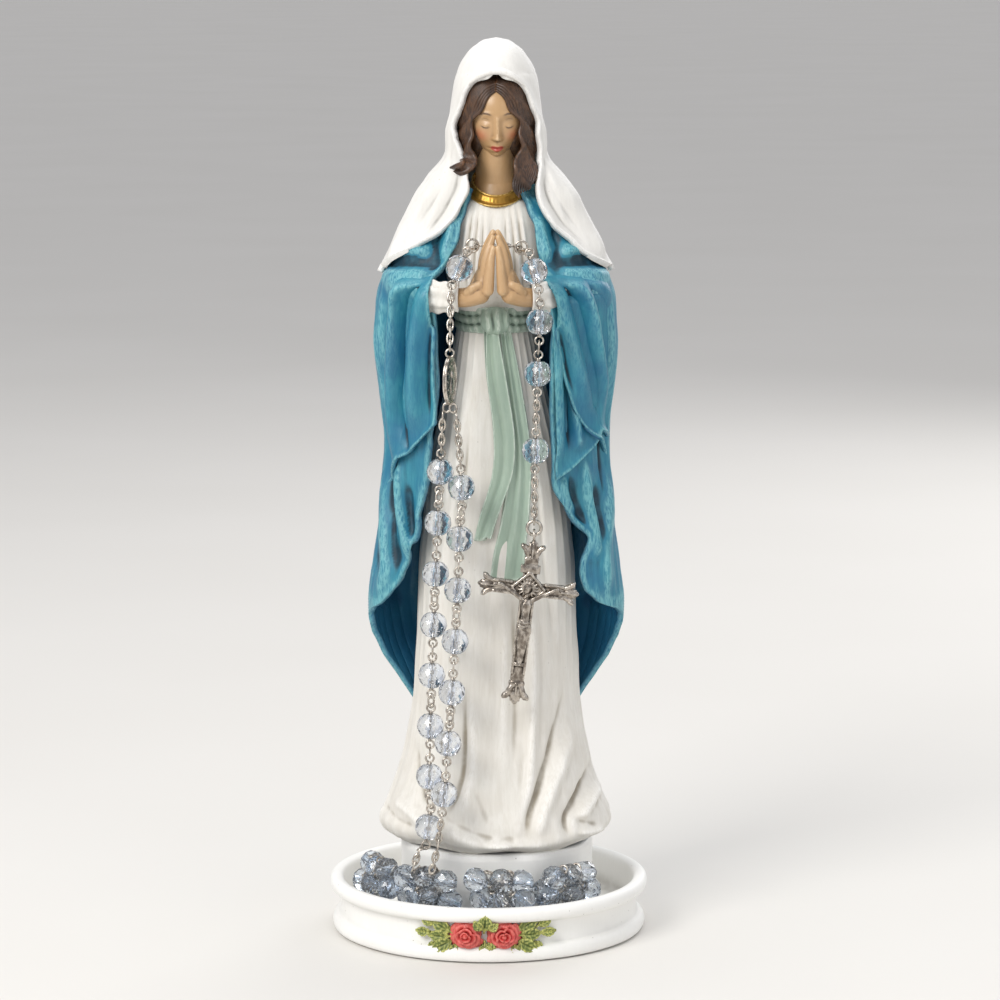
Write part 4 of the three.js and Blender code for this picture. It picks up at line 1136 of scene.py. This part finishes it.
for side, name in bothSides:
    cuff = drape(f"cuffCloth_{name}", 80, 40, cuffCloth(side), 0.6, closed=True)
    statuePart(cuff, (6, 0.18), gownCreamPaint, "gown_cream", f"cuff_{name}")
print("hands folded")

# Dish and pedestal
dish = {
    "steps": 160, "widest": 41,
    "profile": [
        (0, 0), (20, 0), (37, 0), (39.4, 0), (40.1, 0.4), (40.4, 1.4), (40.3, 2.6), (39.9, 3.5), (39.3, 3.95),
        (38.7, 4.1), (38.4, 4.5), (38.2, 5.6), (38.15, 7.6), (38.25, 9.0), (38.4, 9.7), (38.7, 10.0),
        (39.8, 10.15), (40.5, 10.5), (40.9, 11.2), (41, 12.1), (40.85, 13), (40.3, 13.7), (39.4, 14),
        (38.4, 13.9), (37.7, 13.4), (37.4, 12.4), (37.3, 9), (37.2, 6.2), (36.7, 5.1), (35.6, 4.55),
        (30, 4.5), (18, 4.5), (0, 4.5),
    ],
}
base = modify(turned("dishTurned", dish["profile"], dish["steps"]), "SUBSURF", levels=1, render_levels=1)
at = pointsOf(base) / mm
turn = np.arctan2(at[:, 1], at[:, 0])
reach = np.hypot(at[:, 0], at[:, 1])
lean = 1 + 0.0016 * np.sin(turn * 3 + 1) * step(20, 38, reach) + 0.0009 * np.sin(turn * 11 + at[:, 2])
at[:, :2] *= np.minimum(lean, dish["widest"] / np.maximum(reach, 1))[:, None]
statuePart(movePoints(base, at * mm), (6, 0.25), dishWhitePaint, "dish_white", "base_dish")

pedestal = {"middle": (figureX, 0.5), "radii": (24.6, 24.1), "foot": 4.6, "tall": 18.9, "sides": 0.862}


def pedestalShape(u, v):  # the sides, and from there on the flat top
    turn = u * math.tau
    high = np.clip(v * 1.16, 0, 1)
    outward = np.where(v > pedestal["sides"], (1 - v) / (1 - pedestal["sides"]), 1)
    swell = 1 + 0.016 * np.sin(turn * 5 + 0.7) * high + 0.01 * np.sin(turn * 9) + 0.02 * bell(high, 0.08)
    swell *= (1 - 0.02 * step(0.9, 1, high)) * outward
    x, y = (at + radius * way(turn) * swell
            for at, radius, way in zip(pedestal["middle"], pedestal["radii"], (np.cos, np.sin)))
    return x, y, pedestal["foot"] + pedestal["tall"] * high + 0.25 * np.sin(turn * 4) * high * outward


block = drape("pedestalCast", 180, 60, pedestalShape, closed=True)
statuePart(block, (8, 0.3), dishWhitePaint, "dish_white", "pedestal")
print("dish turned")

# Roses and leaves
roses = {
    "wall": 38.35,  # the dish's waist
    "left": (-5.3, 7.1, 0.3), "right": (3.7, 7.0, 1.4),
    "middles": [(2.7, 0.7, 1.5, 20), (0.4, 3.4, 1.6, 24)],  # the heart and a cushion under the petals
    # petals, start radius, end radius, height, half angle, curl, lift
    "rings": [(5, 1.3, 4.4, 1.6, 0.78, 0.75, 0.0), (4, 1.0, 3.4, 2.5, 0.95, 0.6, 0.4),
              (3, 0.6, 2.4, 3.1, 1.15, 0.4, 0.8), (2, 0.2, 1.4, 3.4, 1.5, 0.2, 1.1)],
}


def onWall(across, up, out):  # flat drawing to the round wall
    reach = roses["wall"] + out
    return reach * np.sin(across / roses["wall"]), -reach * np.cos(across / roses["wall"]), up


def petalShape(centre, angle, first, last, height, width, curl, lift):
    def shape(u, v):
        side = (u - 0.5) * 2
        reach = first + (last - first) * v * (1 - 0.16 * side**2 * v)
        spread = angle + side * width * (0.45 + 0.55 * np.sin(math.pi * (0.15 + 0.6 * v)))
        out = lift + height * (1 - (1 - v) ** 2) * (0.75 + 0.25 * side**2) - curl * v**5
        out += 0.12 * np.sin(side * 6 + angle * 3) * v
        across, up = centre[0] + reach * np.cos(spread), centre[1] + reach * np.sin(spread) * 0.95
        return onWall(across, up, np.minimum(out, 4.5))
    return shape


def bulge(across, up, out, radius, depth, segments):  # a ball laid on the wall
    piece = ball("bulge", (0, 0, 0), (radius, radius, depth), segments, 14)
    x, y, z = pointsOf(piece).T / mm
    return movePoints(piece, np.stack(onWall(across + x, up + y, out + z), 1) * mm)


for name in ("left", "right"):
    across, up, start = roses[name]
    parts = []
    for row, (count, first, last, height, width, curl, lift) in enumerate(roses["rings"]):
        for k in range(count):
            angle = start + row * 0.55 + k * math.tau / count
            opened = last * (0.84 + 0.26 * k / (count - 1))  # each petal opens wider than the one before
            low = lift - 0.25 * k / count
            petal = petalShape((across, up), angle, first, opened, height, width, curl, low)
            parts.append(thicken(drape("petal", 16, 12, petal), 0.38, 0))
    for out, radius, depth, segments in roses["middles"]:
        parts.append(bulge(across, up, out, radius, depth, segments))
    statuePart(joined(f"roseCarved_{name}", parts), (6, 0.06), roseRedPaint, "rose_red", f"rose_{name}")

# leaves: root across, root up, angle, length, half width
leaves = {
    "leaves_left": [(-9.2, 7.6, 150, 5.6, 1.6), (-9.6, 6.4, 180, 5.4, 1.5), (-9.0, 5.4, 208, 5.6, 1.6),
                    (-11.4, 9.2, 112, 3.2, 1.1), (-13.6, 9.2, 150, 3.6, 1.1), (-14.4, 7.2, 178, 3.8, 1.1),
                    (-12.6, 4.6, 214, 3.0, 1.0), (-7.6, 4.4, 236, 2.8, 1.1)],
    "leaves_right": [(7.6, 8.0, 34, 5.6, 1.6), (8.0, 6.8, 4, 5.4, 1.5), (7.4, 5.4, -28, 5.4, 1.6),
                     (10.6, 9.2, 66, 3.2, 1.1), (12.6, 9.0, 30, 3.8, 1.1), (13.2, 7.2, 4, 3.8, 1.1),
                     (11.2, 4.8, -34, 3.0, 1.0), (6.0, 4.4, -56, 2.8, 1.1)],
    "leaf_top": [(-0.9, 8.4, 84, 4.0, 1.7), (-1.4, 8.8, 132, 2.8, 1.1), (0.2, 8.8, 36, 2.6, 1.0)],
    "leaf_bottom": [(-0.8, 4.9, 268, 3.0, 1.3), (0.4, 4.8, 310, 2.0, 0.8)],
}


def leafShape(root, ahead, length, width, lift):
    def shape(u, v):
        side = (u - 0.5) * 2
        teeth = 1 + 0.09 * np.abs(np.sin(v * math.pi * 5))
        half = width * np.sin(math.pi * np.clip(v, 0.02, 0.995)) ** 0.85 * (1.15 - 0.3 * v) * teeth * side
        out = lift + 0.75 * np.sin(v * math.pi * 0.9) + 0.3 * side**2 - 0.32 * bell(side, 0.14)
        out += 0.11 * np.sin((v * 9 - np.abs(side) * 2.4) * math.pi) * np.abs(side)
        across, up = root
        return onWall(across + ahead[0] * length * v - ahead[1] * half,
                      up + ahead[1] * length * v + ahead[0] * half, out)
    return shape


for name, sprays in leaves.items():
    parts = []
    rise = 2.0 if name == "leaf_top" else 0.35  # the top leaf lies over the rim
    for k, (across, up, angle, length, width) in enumerate(sprays):
        ahead = math.cos(math.radians(angle)), math.sin(math.radians(angle))
        leaf = leafShape((across, up), ahead, length, width, rise + 0.22 * (k % 3))
        parts.append(thicken(drape("leaf", 14, 22, leaf), 0.5, 0))
        stem = [onWall(across + ahead[0] * run, up + ahead[1] * run, 0.75)
                for run in (-0.25 * length, 0.1 * length, 0.5 * length, 0.85 * length)]
        parts.append(tube("stem", stem, [0.32, 0.26, 0.2, 0.08], 6))
    statuePart(joined(f"spray_{name}", parts), (5, 0.07), leafGreenPaint, "leaf_green", name)
print("roses and leaves carved")


# Rosary
bead = {"radius": 3.45, "halfLength": 3.0, "bore": 0.66, "sides": 10, "bevel": 0.1}
link = {"wire": 0.27, "eye": 1.0, "eyeAt": 4.65, "reach": 5.35, "pitch": 1.75, "half": 0.42, "across": 0.72}
pin = {"reach": 3.9, "wire": 0.3, "wrapAt": (3.3, 3.64), "wrap": (0.42, 0.42, 0.2, 10)}
up, front = Vector((0, 0, 1)), Vector((0, -1, 0))


def crystalBead(name, radius, half, sides, bevel):
    shoulder = 0.78 * half
    rows = [(bead["bore"], half), (0.46 * radius, half * 1.01), (0.75 * radius, shoulder),
            (0.94 * radius, 0.42 * half)]
    profile = [(r, -h) for r, h in rows] + [(radius, 0)] + [(r, h) for r, h in reversed(rows)]
    piece = turned(name, profile + [(bead["bore"], -half)], sides)
    at = pointsOf(piece)
    high = np.abs(at[:, 2]) / mm
    row = (np.abs(high - shoulder) < 0.05) | (high < 0.05)  # these facets are turned half a facet
    at[row] = at[row] @ np.array(Matrix.Rotation(math.pi / sides, 3, "Z")).T
    movePoints(piece, at)
    pick(piece)
    editAll()
    bpy.ops.mesh.quads_convert_to_tris()
    bpy.ops.mesh.tris_convert_to_quads(face_threshold=math.radians(2), shape_threshold=math.radians(60))
    if bevel:
        bpy.ops.mesh.bevel(offset=bevel * mm, segments=1)
    bpy.ops.mesh.normals_make_consistent(inside=False)
    leaveEdit()
    return piece


def wireRing(name, half, across, wire, around):
    clearSelection()
    bpy.ops.mesh.primitive_torus_add(major_radius=across * mm, minor_radius=wire * mm,
                                     major_segments=around, minor_segments=6)
    ring = added(name)
    ring.data.transform(Matrix.Diagonal((1, half / across, 1, 1)))
    return ring


# A ring whose long side lies on a line, seen from the front or edge-on.
def ringAt(centre, direction, edgeOn, half, across, wire=link["wire"], around=16):
    ring = wireRing("ring", half, across, wire, around)
    line = Vector(direction).normalized()
    side = line.cross(front).normalized()
    normal = side if edgeOn else side.cross(line).normalized()
    basis = Matrix((line.cross(normal), line, normal)).transposed().to_4x4()
    ring.data.transform(shifted(centre) @ basis)
    return ring


def ringsAlong(start, end, swap=False):
    start, end = Vector(start), Vector(end)
    line = end - start
    count = max(1, round(line.length / link["pitch"]))
    half = line.length / count / 2 + link["half"]
    return [ringAt(start + line * ((k + 0.5) / count), line, (k % 2 == 0) != swap, half, link["across"])
            for k in range(count)]


def beadPin(centre, axis):
    half = axis * pin["reach"]
    parts = [tube("pin", [centre - half, centre, centre + half], [pin["wire"]] * 2, 8)]
    for side in (-1, 1):
        parts.append(ringAt(centre + axis * side * link["eyeAt"], axis, False, link["eye"], link["eye"]))
        for reach in pin["wrapAt"]:  # the wire's wrapped end
            spot = centre + axis * side * reach
            ring = ringAt(spot, axis, False, *pin["wrap"])
            upright = Matrix.Rotation(math.pi / 2, 4, axis.cross(front))
            ring.data.transform(shifted(spot) @ upright @ shifted(-spot))
            parts.append(ring)
    return parts


def metalPiece(name, parts, body, *nodes):
    piece = joined(name, parts)
    return finish(carveRelief(piece, 3, 0.12), body, antiqueSilver, "antique_silver", *nodes)


# Each bead turns about its own pin, where the CAD has that joint.
def jointPlace(name):
    return Vector(next(joint for joint in frame["joints"] if joint["name"] == name)["pos_m"]) / mm


beadPlaces = {}
beadMaster = crystalBead("beadMaster", *(bead[key] for key in ("radius", "halfLength", "sides", "bevel")))
for count, joint in enumerate(joint for joint in frame["joints"] if joint["name"].startswith("spin_")):
    name, axis, body = joint["name"][5:], Vector(joint["axis"]), joint["child"]
    place = Vector(joint["pos_m"]) / mm
    beadPlaces[name] = place, (axis if axis.z < 0 else -axis).normalized()  # the axes run down the chain
    cut = copied(beadMaster, f"crystalBead_{name}")
    aim = up.rotation_difference(axis).to_matrix().to_4x4()
    cut.data.transform(shifted(place) @ aim @ Matrix.Rotation(0.7 * count, 4, "Z"))
    finish(cut, body, iceCrystal, "bead_crystal", *frame["record"]["behaviour"]["bodies"][body], flat=True)
bpy.data.objects.remove(beadMaster)
print("beads cut")


def beadsOnChain(names, reached, turnAbout=False):  # pins and links from bead to bead, and the place reached
    parts = []
    for k, name in enumerate(names):
        place, axis = beadPlaces[name]
        parts += ringsAlong(reached, place - axis * link["reach"], turnAbout and k % 2)
        parts += beadPin(place, axis)
        reached = place + axis * link["reach"]
    return parts, reached


strands = {
    "left": {"count": 8, "start": (-11.2, -26.4, 136.6), "end": (-17.2, -29.4, 26.6),
             "rest": (-19, -30, 21.6)},
    "right": {"count": 7, "start": (-7.8, -28.8, 136.6), "end": (-12.6, -33, 28),
              "rest": (-14.2, -32.4, 21.4)},
}
for name, look in strands.items():
    names = [f"{name}_{k + 1}" for k in range(look["count"])]
    parts, reached = beadsOnChain(names, Vector(look["start"]), True)
    parts += ringsAlong(reached, look["end"]) + ringsAlong(look["end"], look["rest"])
    metalPiece(f"strandLinks_{name}", parts, "rosary", f"strand_chain_{name}")

medal = {"centre": (-9.4, -27.6, 145), "turn": 1.25, "radius": 4.3, "tall": 1.42, "thick": 0.62, "rim": 4.0,
         "dots": 12, "dotsAt": 2.9,
         # the ring above and the two below: place, half length, half width
         "rings": [((-9.4, -27.6, 151.8), 1.0, 1.0), ((-10.2, -27.0, 138.2), 1.1, 0.9),
                   ((-8.6, -28.2, 138.2), 1.1, 0.9)]}
plate = (medal["radius"], medal["thick"], medal["radius"] * medal["tall"])
parts = [ball("medalPlate", (0, 0, 0), plate, 48, 32)]
for side in (-1, 1):
    rim = wireRing("medalRim", medal["rim"] * medal["tall"], medal["rim"], 0.3, 48)
    rim.data.transform(shifted((0, side * 0.24, 0)) @ Matrix.Rotation(math.pi / 2, 4, "X"))
    parts.append(rim)
    parts.append(ball("medalFigure", (0, side * 0.5, 1.6), (0.9, 0.5, 1.1), 16, 12))
    parts.append(ball("medalFigure", (0, side * 0.42, -1.2), (1.5, 0.5, 2.7), 16, 12))
    for k in range(medal["dots"]):
        angle = math.tau * k / medal["dots"]
        x, z = medal["dotsAt"] * math.cos(angle), medal["dotsAt"] * math.sin(angle) * medal["tall"]
        parts.append(ball("medalDot", (x, side * 0.38, z), (0.28, 0.28, 0.28), 10, 8))
medalPiece = placed(joined("medal", parts), medal["centre"], (0, 0, medal["turn"]))
rings = [ringAt(place, up, False, half, across) for place, half, across in medal["rings"]]
metalPiece("centreMedal", [medalPiece, *rings], "rosary", "centre_medal")

handLoop = {
    "overHands": [(-3.9, -20.4, 177.3), (-2.6, -17, 177.6), (6.8, -17, 177.4), (8.3, -20.8, 176.9)],
    "toMedal": (-9.4, -27.6, 152.9), "eye": (0.3, 0.9, 0.28), "ring": (1.6, 1.55, 0.28, 24),
}
(leftPlace, leftAxis), (rightPlace, rightAxis) = beadPlaces["pendant_1"], beadPlaces["pendant_2"]
parts = beadPin(leftPlace, leftAxis) + beadPin(rightPlace, rightAxis)
parts += ringsAlong(leftPlace + leftAxis * 5.3, handLoop["toMedal"])
for near, far in zip(handLoop["overHands"], handLoop["overHands"][1:]):
    parts += ringsAlong(near, far)
for near, far in ((leftPlace - leftAxis * 5.2, handLoop["overHands"][0]),
                  (rightPlace - rightAxis * 5.2, handLoop["overHands"][-1])):
    run = Vector(far) - near
    longer, across, wire = handLoop["eye"]
    parts.append(ringAt(near + run * 0.5, run, True, run.length / 2 + longer, across, wire))
    parts.append(ringAt(Vector(far) + up * 0.5, up, False, *handLoop["ring"]))
metalPiece("handLinks", parts, "rosary", "hand_chain")

crossHinge = jointPlace("crucifix_swing")
reached = jointPlace("pendant_swing") - up * 0.45
parts = [ringAt(reached, (0.1, 0, -1), True, 1.2, 1.2)]
links, reached = beadsOnChain([f"pendant_free_{k + 1}" for k in range(3)], reached - up)
jump = crossHinge + up * 1.7
parts += links + ringsAlong(reached, jump + up * 1.4)
parts.append(ringAt(jump, up, False, 1.75, 1.75, 0.42, 28))
metalPiece("pendantLinks", parts, "pendant", "pendant_chain")
print("chain linked")

# Crucifix
crucifix = {
    "top": (11.5, -27, 104.8), "tilt": 0.12, "crossing": -12.2, "grain": 0.15,
    # the bars and the diamond between them: x, z, half width, half height, half depth, turn
    "bars": [(0, -20, 1.75, 15.6, 0.62, 0), (0, -12.2, 8.6, 1.6, 0.62, 0),
             (0, -12.2, 3.05, 3.05, 0.72, math.pi / 4)],
    "ends": [(0, -4.8, 0, 0.98), (0, -36.2, math.pi, 1.1), (-7.9, -12.2, -math.pi / 2, 0.94),
             (7.9, -12.2, math.pi / 2, 0.94)],
    # a blank title plate and the foot rest
    "plates": [(0, -7.2, 2.5, 1.0, 0.95), (0, -7.2, 1.9, 0.55, 1.02), (0, -31.4, 1.1, 0.5, 1.2)],
    "rays": 16, "rayFrom": 1.0, "rayDepth": -0.85,
}
# A leafy end, drawn pointing up from (0, 0): a waist, a bud, curled side lobes and two veins on each side.
leafyLobes = [(0, 0.2, 1.9, 1.2, 0.8, 0), (0, 2.9, 0.95, 2.3, 1.05, 0)] + [
    (side * x, z, halfX, halfZ, halfY, side * lean)
    for x, z, halfX, halfZ, halfY, lean in (
        (1.45, 1.9, 0.75, 2.2, 0.85, 0.38), (2.45, 3.1, 0.62, 1.0, 0.95, 0.6),
        (0.75, 2.6, 0.35, 1.9, 0.7, 0.15))
    for side in (-1, 1)]


def slab(x, z, halfX, halfZ, halfY=0.62, turn=0.0, y=0.0):
    clearSelection()
    bpy.ops.mesh.primitive_cube_add(size=2 * mm)
    piece = added("slab")
    editAll()
    bpy.ops.transform.resize(value=(halfX, halfY, halfZ))
    bpy.ops.mesh.bevel(offset=0.18 * mm, segments=2)
    leaveEdit()
    return placed(piece, (x, y, z), (0, turn, 0))


def lobe(x, z, halfX, halfZ, halfY=0.8, turn=0.0, y=0.0):
    return ball("lobe", (x, y, z), (halfX, halfY, halfZ), 20, 14, (0, turn, 0))


def leafyEnd(x, z, turn, size):
    cos, sin = math.cos(turn) * size, math.sin(turn) * size
    parts = []
    for lx, lz, halfX, halfZ, halfY, lean in leafyLobes:
        px, pz = x + lx * cos + lz * sin, z - lx * sin + lz * cos
        parts.append(lobe(px, pz, halfX * size, halfZ * size, halfY, turn + lean))
    vein = [(x + lz * sin, -0.95, z + lz * cos) for lz in (0.2, 2.2, 4.2)]
    return parts + [tube("vein", vein, [0.3, 0.34, 0.15], 6)]


crossing = crucifix["crossing"]
parts = [slab(*bar) for bar in crucifix["bars"]]
parts += [slab(side * 1.5, -24, 0.34, 10, 1.0) for side in (-1, 1)]
parts += [slab(side * 6.4, crossing + rise * 1.4, 2.4, 0.34, 1.0) for side in (-1, 1) for rise in (-1, 1)]
for corner in range(4):  # the diamond's raised border
    angle = math.pi / 4 + corner * math.pi / 2
    parts.append(slab(2.95 * math.sin(angle), crossing + 2.95 * math.cos(angle), 3.0, 0.36, 1.15, angle))
for k in range(crucifix["rays"]):  # rays behind the head
    angle = math.tau * (k + 0.5) / crucifix["rays"]
    long = 2.1 + 0.9 * abs(math.cos(2 * angle + math.pi / 2))
    ray = [(reach * math.sin(angle), crucifix["rayDepth"], crossing + reach * math.cos(angle))
           for reach in (crucifix["rayFrom"], long)]
    parts.append(tube("ray", ray, [0.34, 0.2], 6))
for end in crucifix["ends"]:
    parts += leafyEnd(*end)
parts += [slab(*plate) for plate in crucifix["plates"]]
cross = recast(joined("cross", parts), crucifix["grain"], 0.4, 1)
placed(cross, crucifix["top"], (0, crucifix["tilt"], 0))
carveRelief(cross, 10, 0.1)
bail = carveRelief(ringAt(crossHinge - up * 0.1, up, True, 1.3, 1.2, 0.36, 24), 3, 0.12)
cross = joined("crucifixCast", [cross, bail])
finish(cross, "crucifix", antiqueSilver, "antique_silver", "crucifix_cross")

corpus = {
    "arm": ([(0.3, 0, -15.3), (2.2, 0, -14.1), (4.4, 0, -12.9), (6.4, 0, -11.7), (7.2, 0.1, -11.5)],
            [0.75, 0.68, 0.5, 0.45, 0.4]),
    "trunk": [
        ([(0, -0.1, -14.6), (0, -0.25, -16), (0, -0.15, -18.2), (0.1, -0.1, -20.2)], [1.2, 1.32, 0.98, 1.15]),
        ([(-0.5, -0.1, -20.4), (-0.7, -0.5, -24.4), (-0.4, -0.1, -27.4), (-0.2, 0, -30.6)],
         [0.95, 0.75, 0.62, 0.42]),
        ([(0.5, -0.1, -20.4), (0.6, -0.55, -24.2), (0.45, -0.15, -27.6), (0.1, -0.25, -30.8)],
         [0.95, 0.75, 0.62, 0.42]),
        ([(-0.2, 0, -30.4), (0, -0.45, -31.6)], [0.5, 0.4]),
    ],
    # head, hair, neck and the end of the cloth: x, z, half width, half height, half depth, turn, y
    "lobes": [(-0.35, -12.2, 0.85, 1.15, 0.85, 0.25, -0.35), (-0.2, -11.7, 1.05, 0.9, 0.8, 0.2, -0.05),
              (-0.2, -13.7, 0.5, 0.9, 0.5), (1.5, -22, 0.5, 1.5, 0.6, -0.15, -0.2)],
    "folds": (-20.3, -21, -21.6), "forward": -1.75,
}
armLine, armRadii = corpus["arm"]
limbs = [([(side * x, y, z) for x, y, z in armLine], armRadii) for side in (-1, 1)] + corpus["trunk"]
parts = [tube("limb", path, radii, 12) for path, radii in limbs] + [lobe(*at) for at in corpus["lobes"]]
crownBand = [(-1.2, -0.5, -11.9), (-0.4, -1.05, -11.7), (0.6, -0.55, -11.5)]
parts.append(tube("crownBand", crownBand, [0.22, 0.22], 6))
parts.append(slab(0, -20.9, 1.5, 0.95, 0.85, 0.12, -0.2))
for z in corpus["folds"]:
    parts.append(tube("fold", [(-1.4, -1.1, z), (0, -1.3, z - 0.35), (1.5, -1.0, z + 0.1)], [0.2, 0.2], 6))
for side in (-1, 1):
    parts += [lobe(side * 0.5, -15.9, 0.62, 0.62, 0.45, 0, -1.05), lobe(side * 7.3, -11.5, 0.5, 0.55, 0.4)]
figure = recast(joined("corpus", parts), crucifix["grain"], 0.4, 1)
placed(figure, (0, corpus["forward"], 0))
placed(figure, crucifix["top"], (0, crucifix["tilt"], 0))
finish(carveRelief(figure, 9, 0.13), "crucifix", antiqueSilver, "antique_silver", "corpus")
print("crucifix cast")

# The rest of the loop, piled in the dish
pile = {"radius": 3.2, "half": 2.85, "sides": 8, "decades": 4, "sector": 34, "start": -169,
        "ring": (1.25, 1.0, 0.27, 12),
        # rows: height, distance from the middle, turns; inner: the turn of the bead nearer the middle
        "rows": [(8.2, 33.6, (6.4, 17, 27.6)), (14, 33.6, (6.4, 17, 27.6)), (18.6, 32.6, (7, 17, 27))],
        "inner": [24, 8, None, 6], "innerAt": (14.6, 29.6)}
pileMaster = crystalBead("pileMaster", pile["radius"], pile["half"], pile["sides"], 0)
chance = np.random.default_rng(7)
for decade in range(pile["decades"]):
    places = [(z, reach, turn) for z, reach, turns in pile["rows"] for turn in turns]
    if pile["inner"][decade] is not None:
        places.append((*pile["innerAt"], pile["inner"][decade]))
    centres, beads, rings = [], [], []
    for z, reach, turn in places:
        along, inwards, rise = (chance.uniform(low, 1) for low in (-1, 0, 0))  # a loose heap
        angle = math.radians(pile["start"] + decade * pile["sector"] + turn + 1.9 * along)
        reach -= 1.3 * inwards
        high = z + (1.5 if z > 10 else 0.5) * (rise - 0.35)
        centres.append(Vector((math.cos(angle) * reach, math.sin(angle) * reach, high)))
    for centre in centres:
        spin, tip, lean = chance.uniform(0, 3.1, 3)
        beads.append(placed(copied(pileMaster, "pileBead"), centre, (0.6 + tip * 0.6, lean * 0.5, spin)))
    for one, following in zip(centres, centres[1:]):
        away = Vector((one.x, one.y, 0)).normalized()
        middle = (one + following) / 2
        for edgeOn in (False, True):
            nudge, direction = Vector(chance.uniform(-1.2, 1.2, 3)), Vector(chance.uniform(-1, 1, 3))
            rings.append(ringAt(middle - away * 1.9 + nudge, direction, edgeOn, *pile["ring"]))
            rings.append(ringAt(middle + up * 1.7 + nudge * 0.6, direction.yzx, not edgeOn, *pile["ring"]))
    heap = joined(f"pileBeads_{decade + 1}", beads)
    finish(heap, "rosary", iceCrystalPile, "bead_crystal", f"pile_decade_{decade + 1}", flat=True)
    metalPiece(f"pileLinks_{decade + 1}", rings, "rosary")
bpy.data.objects.remove(pileMaster)
print("loop piled")


# Studio
studio = {
    "aim": (3, 0, 111), "stand": (3, -998.9, 260.3), "lens": 142.3, "sensor": 36,
    # lights: place in metres, power, size, colour
    "lights": {
        "keyLight": ((-0.55, -0.75, 0.75), 8.0, 0.5, (1, 0.985, 0.96)),
        "fillLight": ((0.8, -0.7, 0.35), 1.3, 0.7, (0.96, 0.98, 1)),
        "topLight": ((0, 0.1, 1.0), 2.8, 0.7, (1, 1, 1)),
        "rimLight": ((0.5, 0.8, 0.5), 2.4, 0.5, (1, 1, 1)),
    },
    "room": ((0.95, 0.96, 1, 1), 0.62), "floor": ("dcd9d3", "e2dfda", 0.7), "floorSize": 60,
}


def standing(name, data, place, aim):
    item = bpy.data.objects.new(name, data)
    bpy.context.collection.objects.link(item)
    item.location = place
    item.rotation_euler = (aim - place).to_track_quat("-Z", "Y").to_euler()
    return item


stand, aim = (Vector(studio[key]) * mm for key in ("stand", "aim"))
camera = standing("camera", bpy.data.cameras.new("camera"), stand, aim)
camera.data.lens = studio["lens"]
camera.data.sensor_width = studio["sensor"]
camera.data.clip_start = 0.01
bpy.context.scene.camera = camera
bpy.context.scene.view_settings.view_transform = "Standard"
for name, (place, power, size, warmth) in studio["lights"].items():
    lamp = bpy.data.lights.new(name, "AREA")
    lamp.energy, lamp.size, lamp.color = power, size, warmth
    standing(name, lamp, Vector(place), Vector((0, 0, 0.11)))
world = bpy.data.worlds.new("room")
world.use_nodes = True
background = world.node_tree.nodes["Background"].inputs
background[0].default_value, background[1].default_value = studio["room"]
bpy.context.scene.world = world

clearSelection()
bpy.ops.mesh.primitive_plane_add(size=studio["floorSize"], location=(0, 0, -0.0002))
floor = added("studioFloor")
floorPaint, floorTree, floorShader = newMaterial("studioFloorPaint")
floorLow, floorHigh, floorRough = studio["floor"]
floorNoise = noise(floorTree, placeOf(floorTree), 6, 2)
setInputs(floorTree, floorShader, {
    "Base Color": blendColours(floorTree, floorNoise, colour(floorLow), colour(floorHigh)),
    "Roughness": floorRough})
floor.data.materials.append(floorPaint)
print("studio lit")
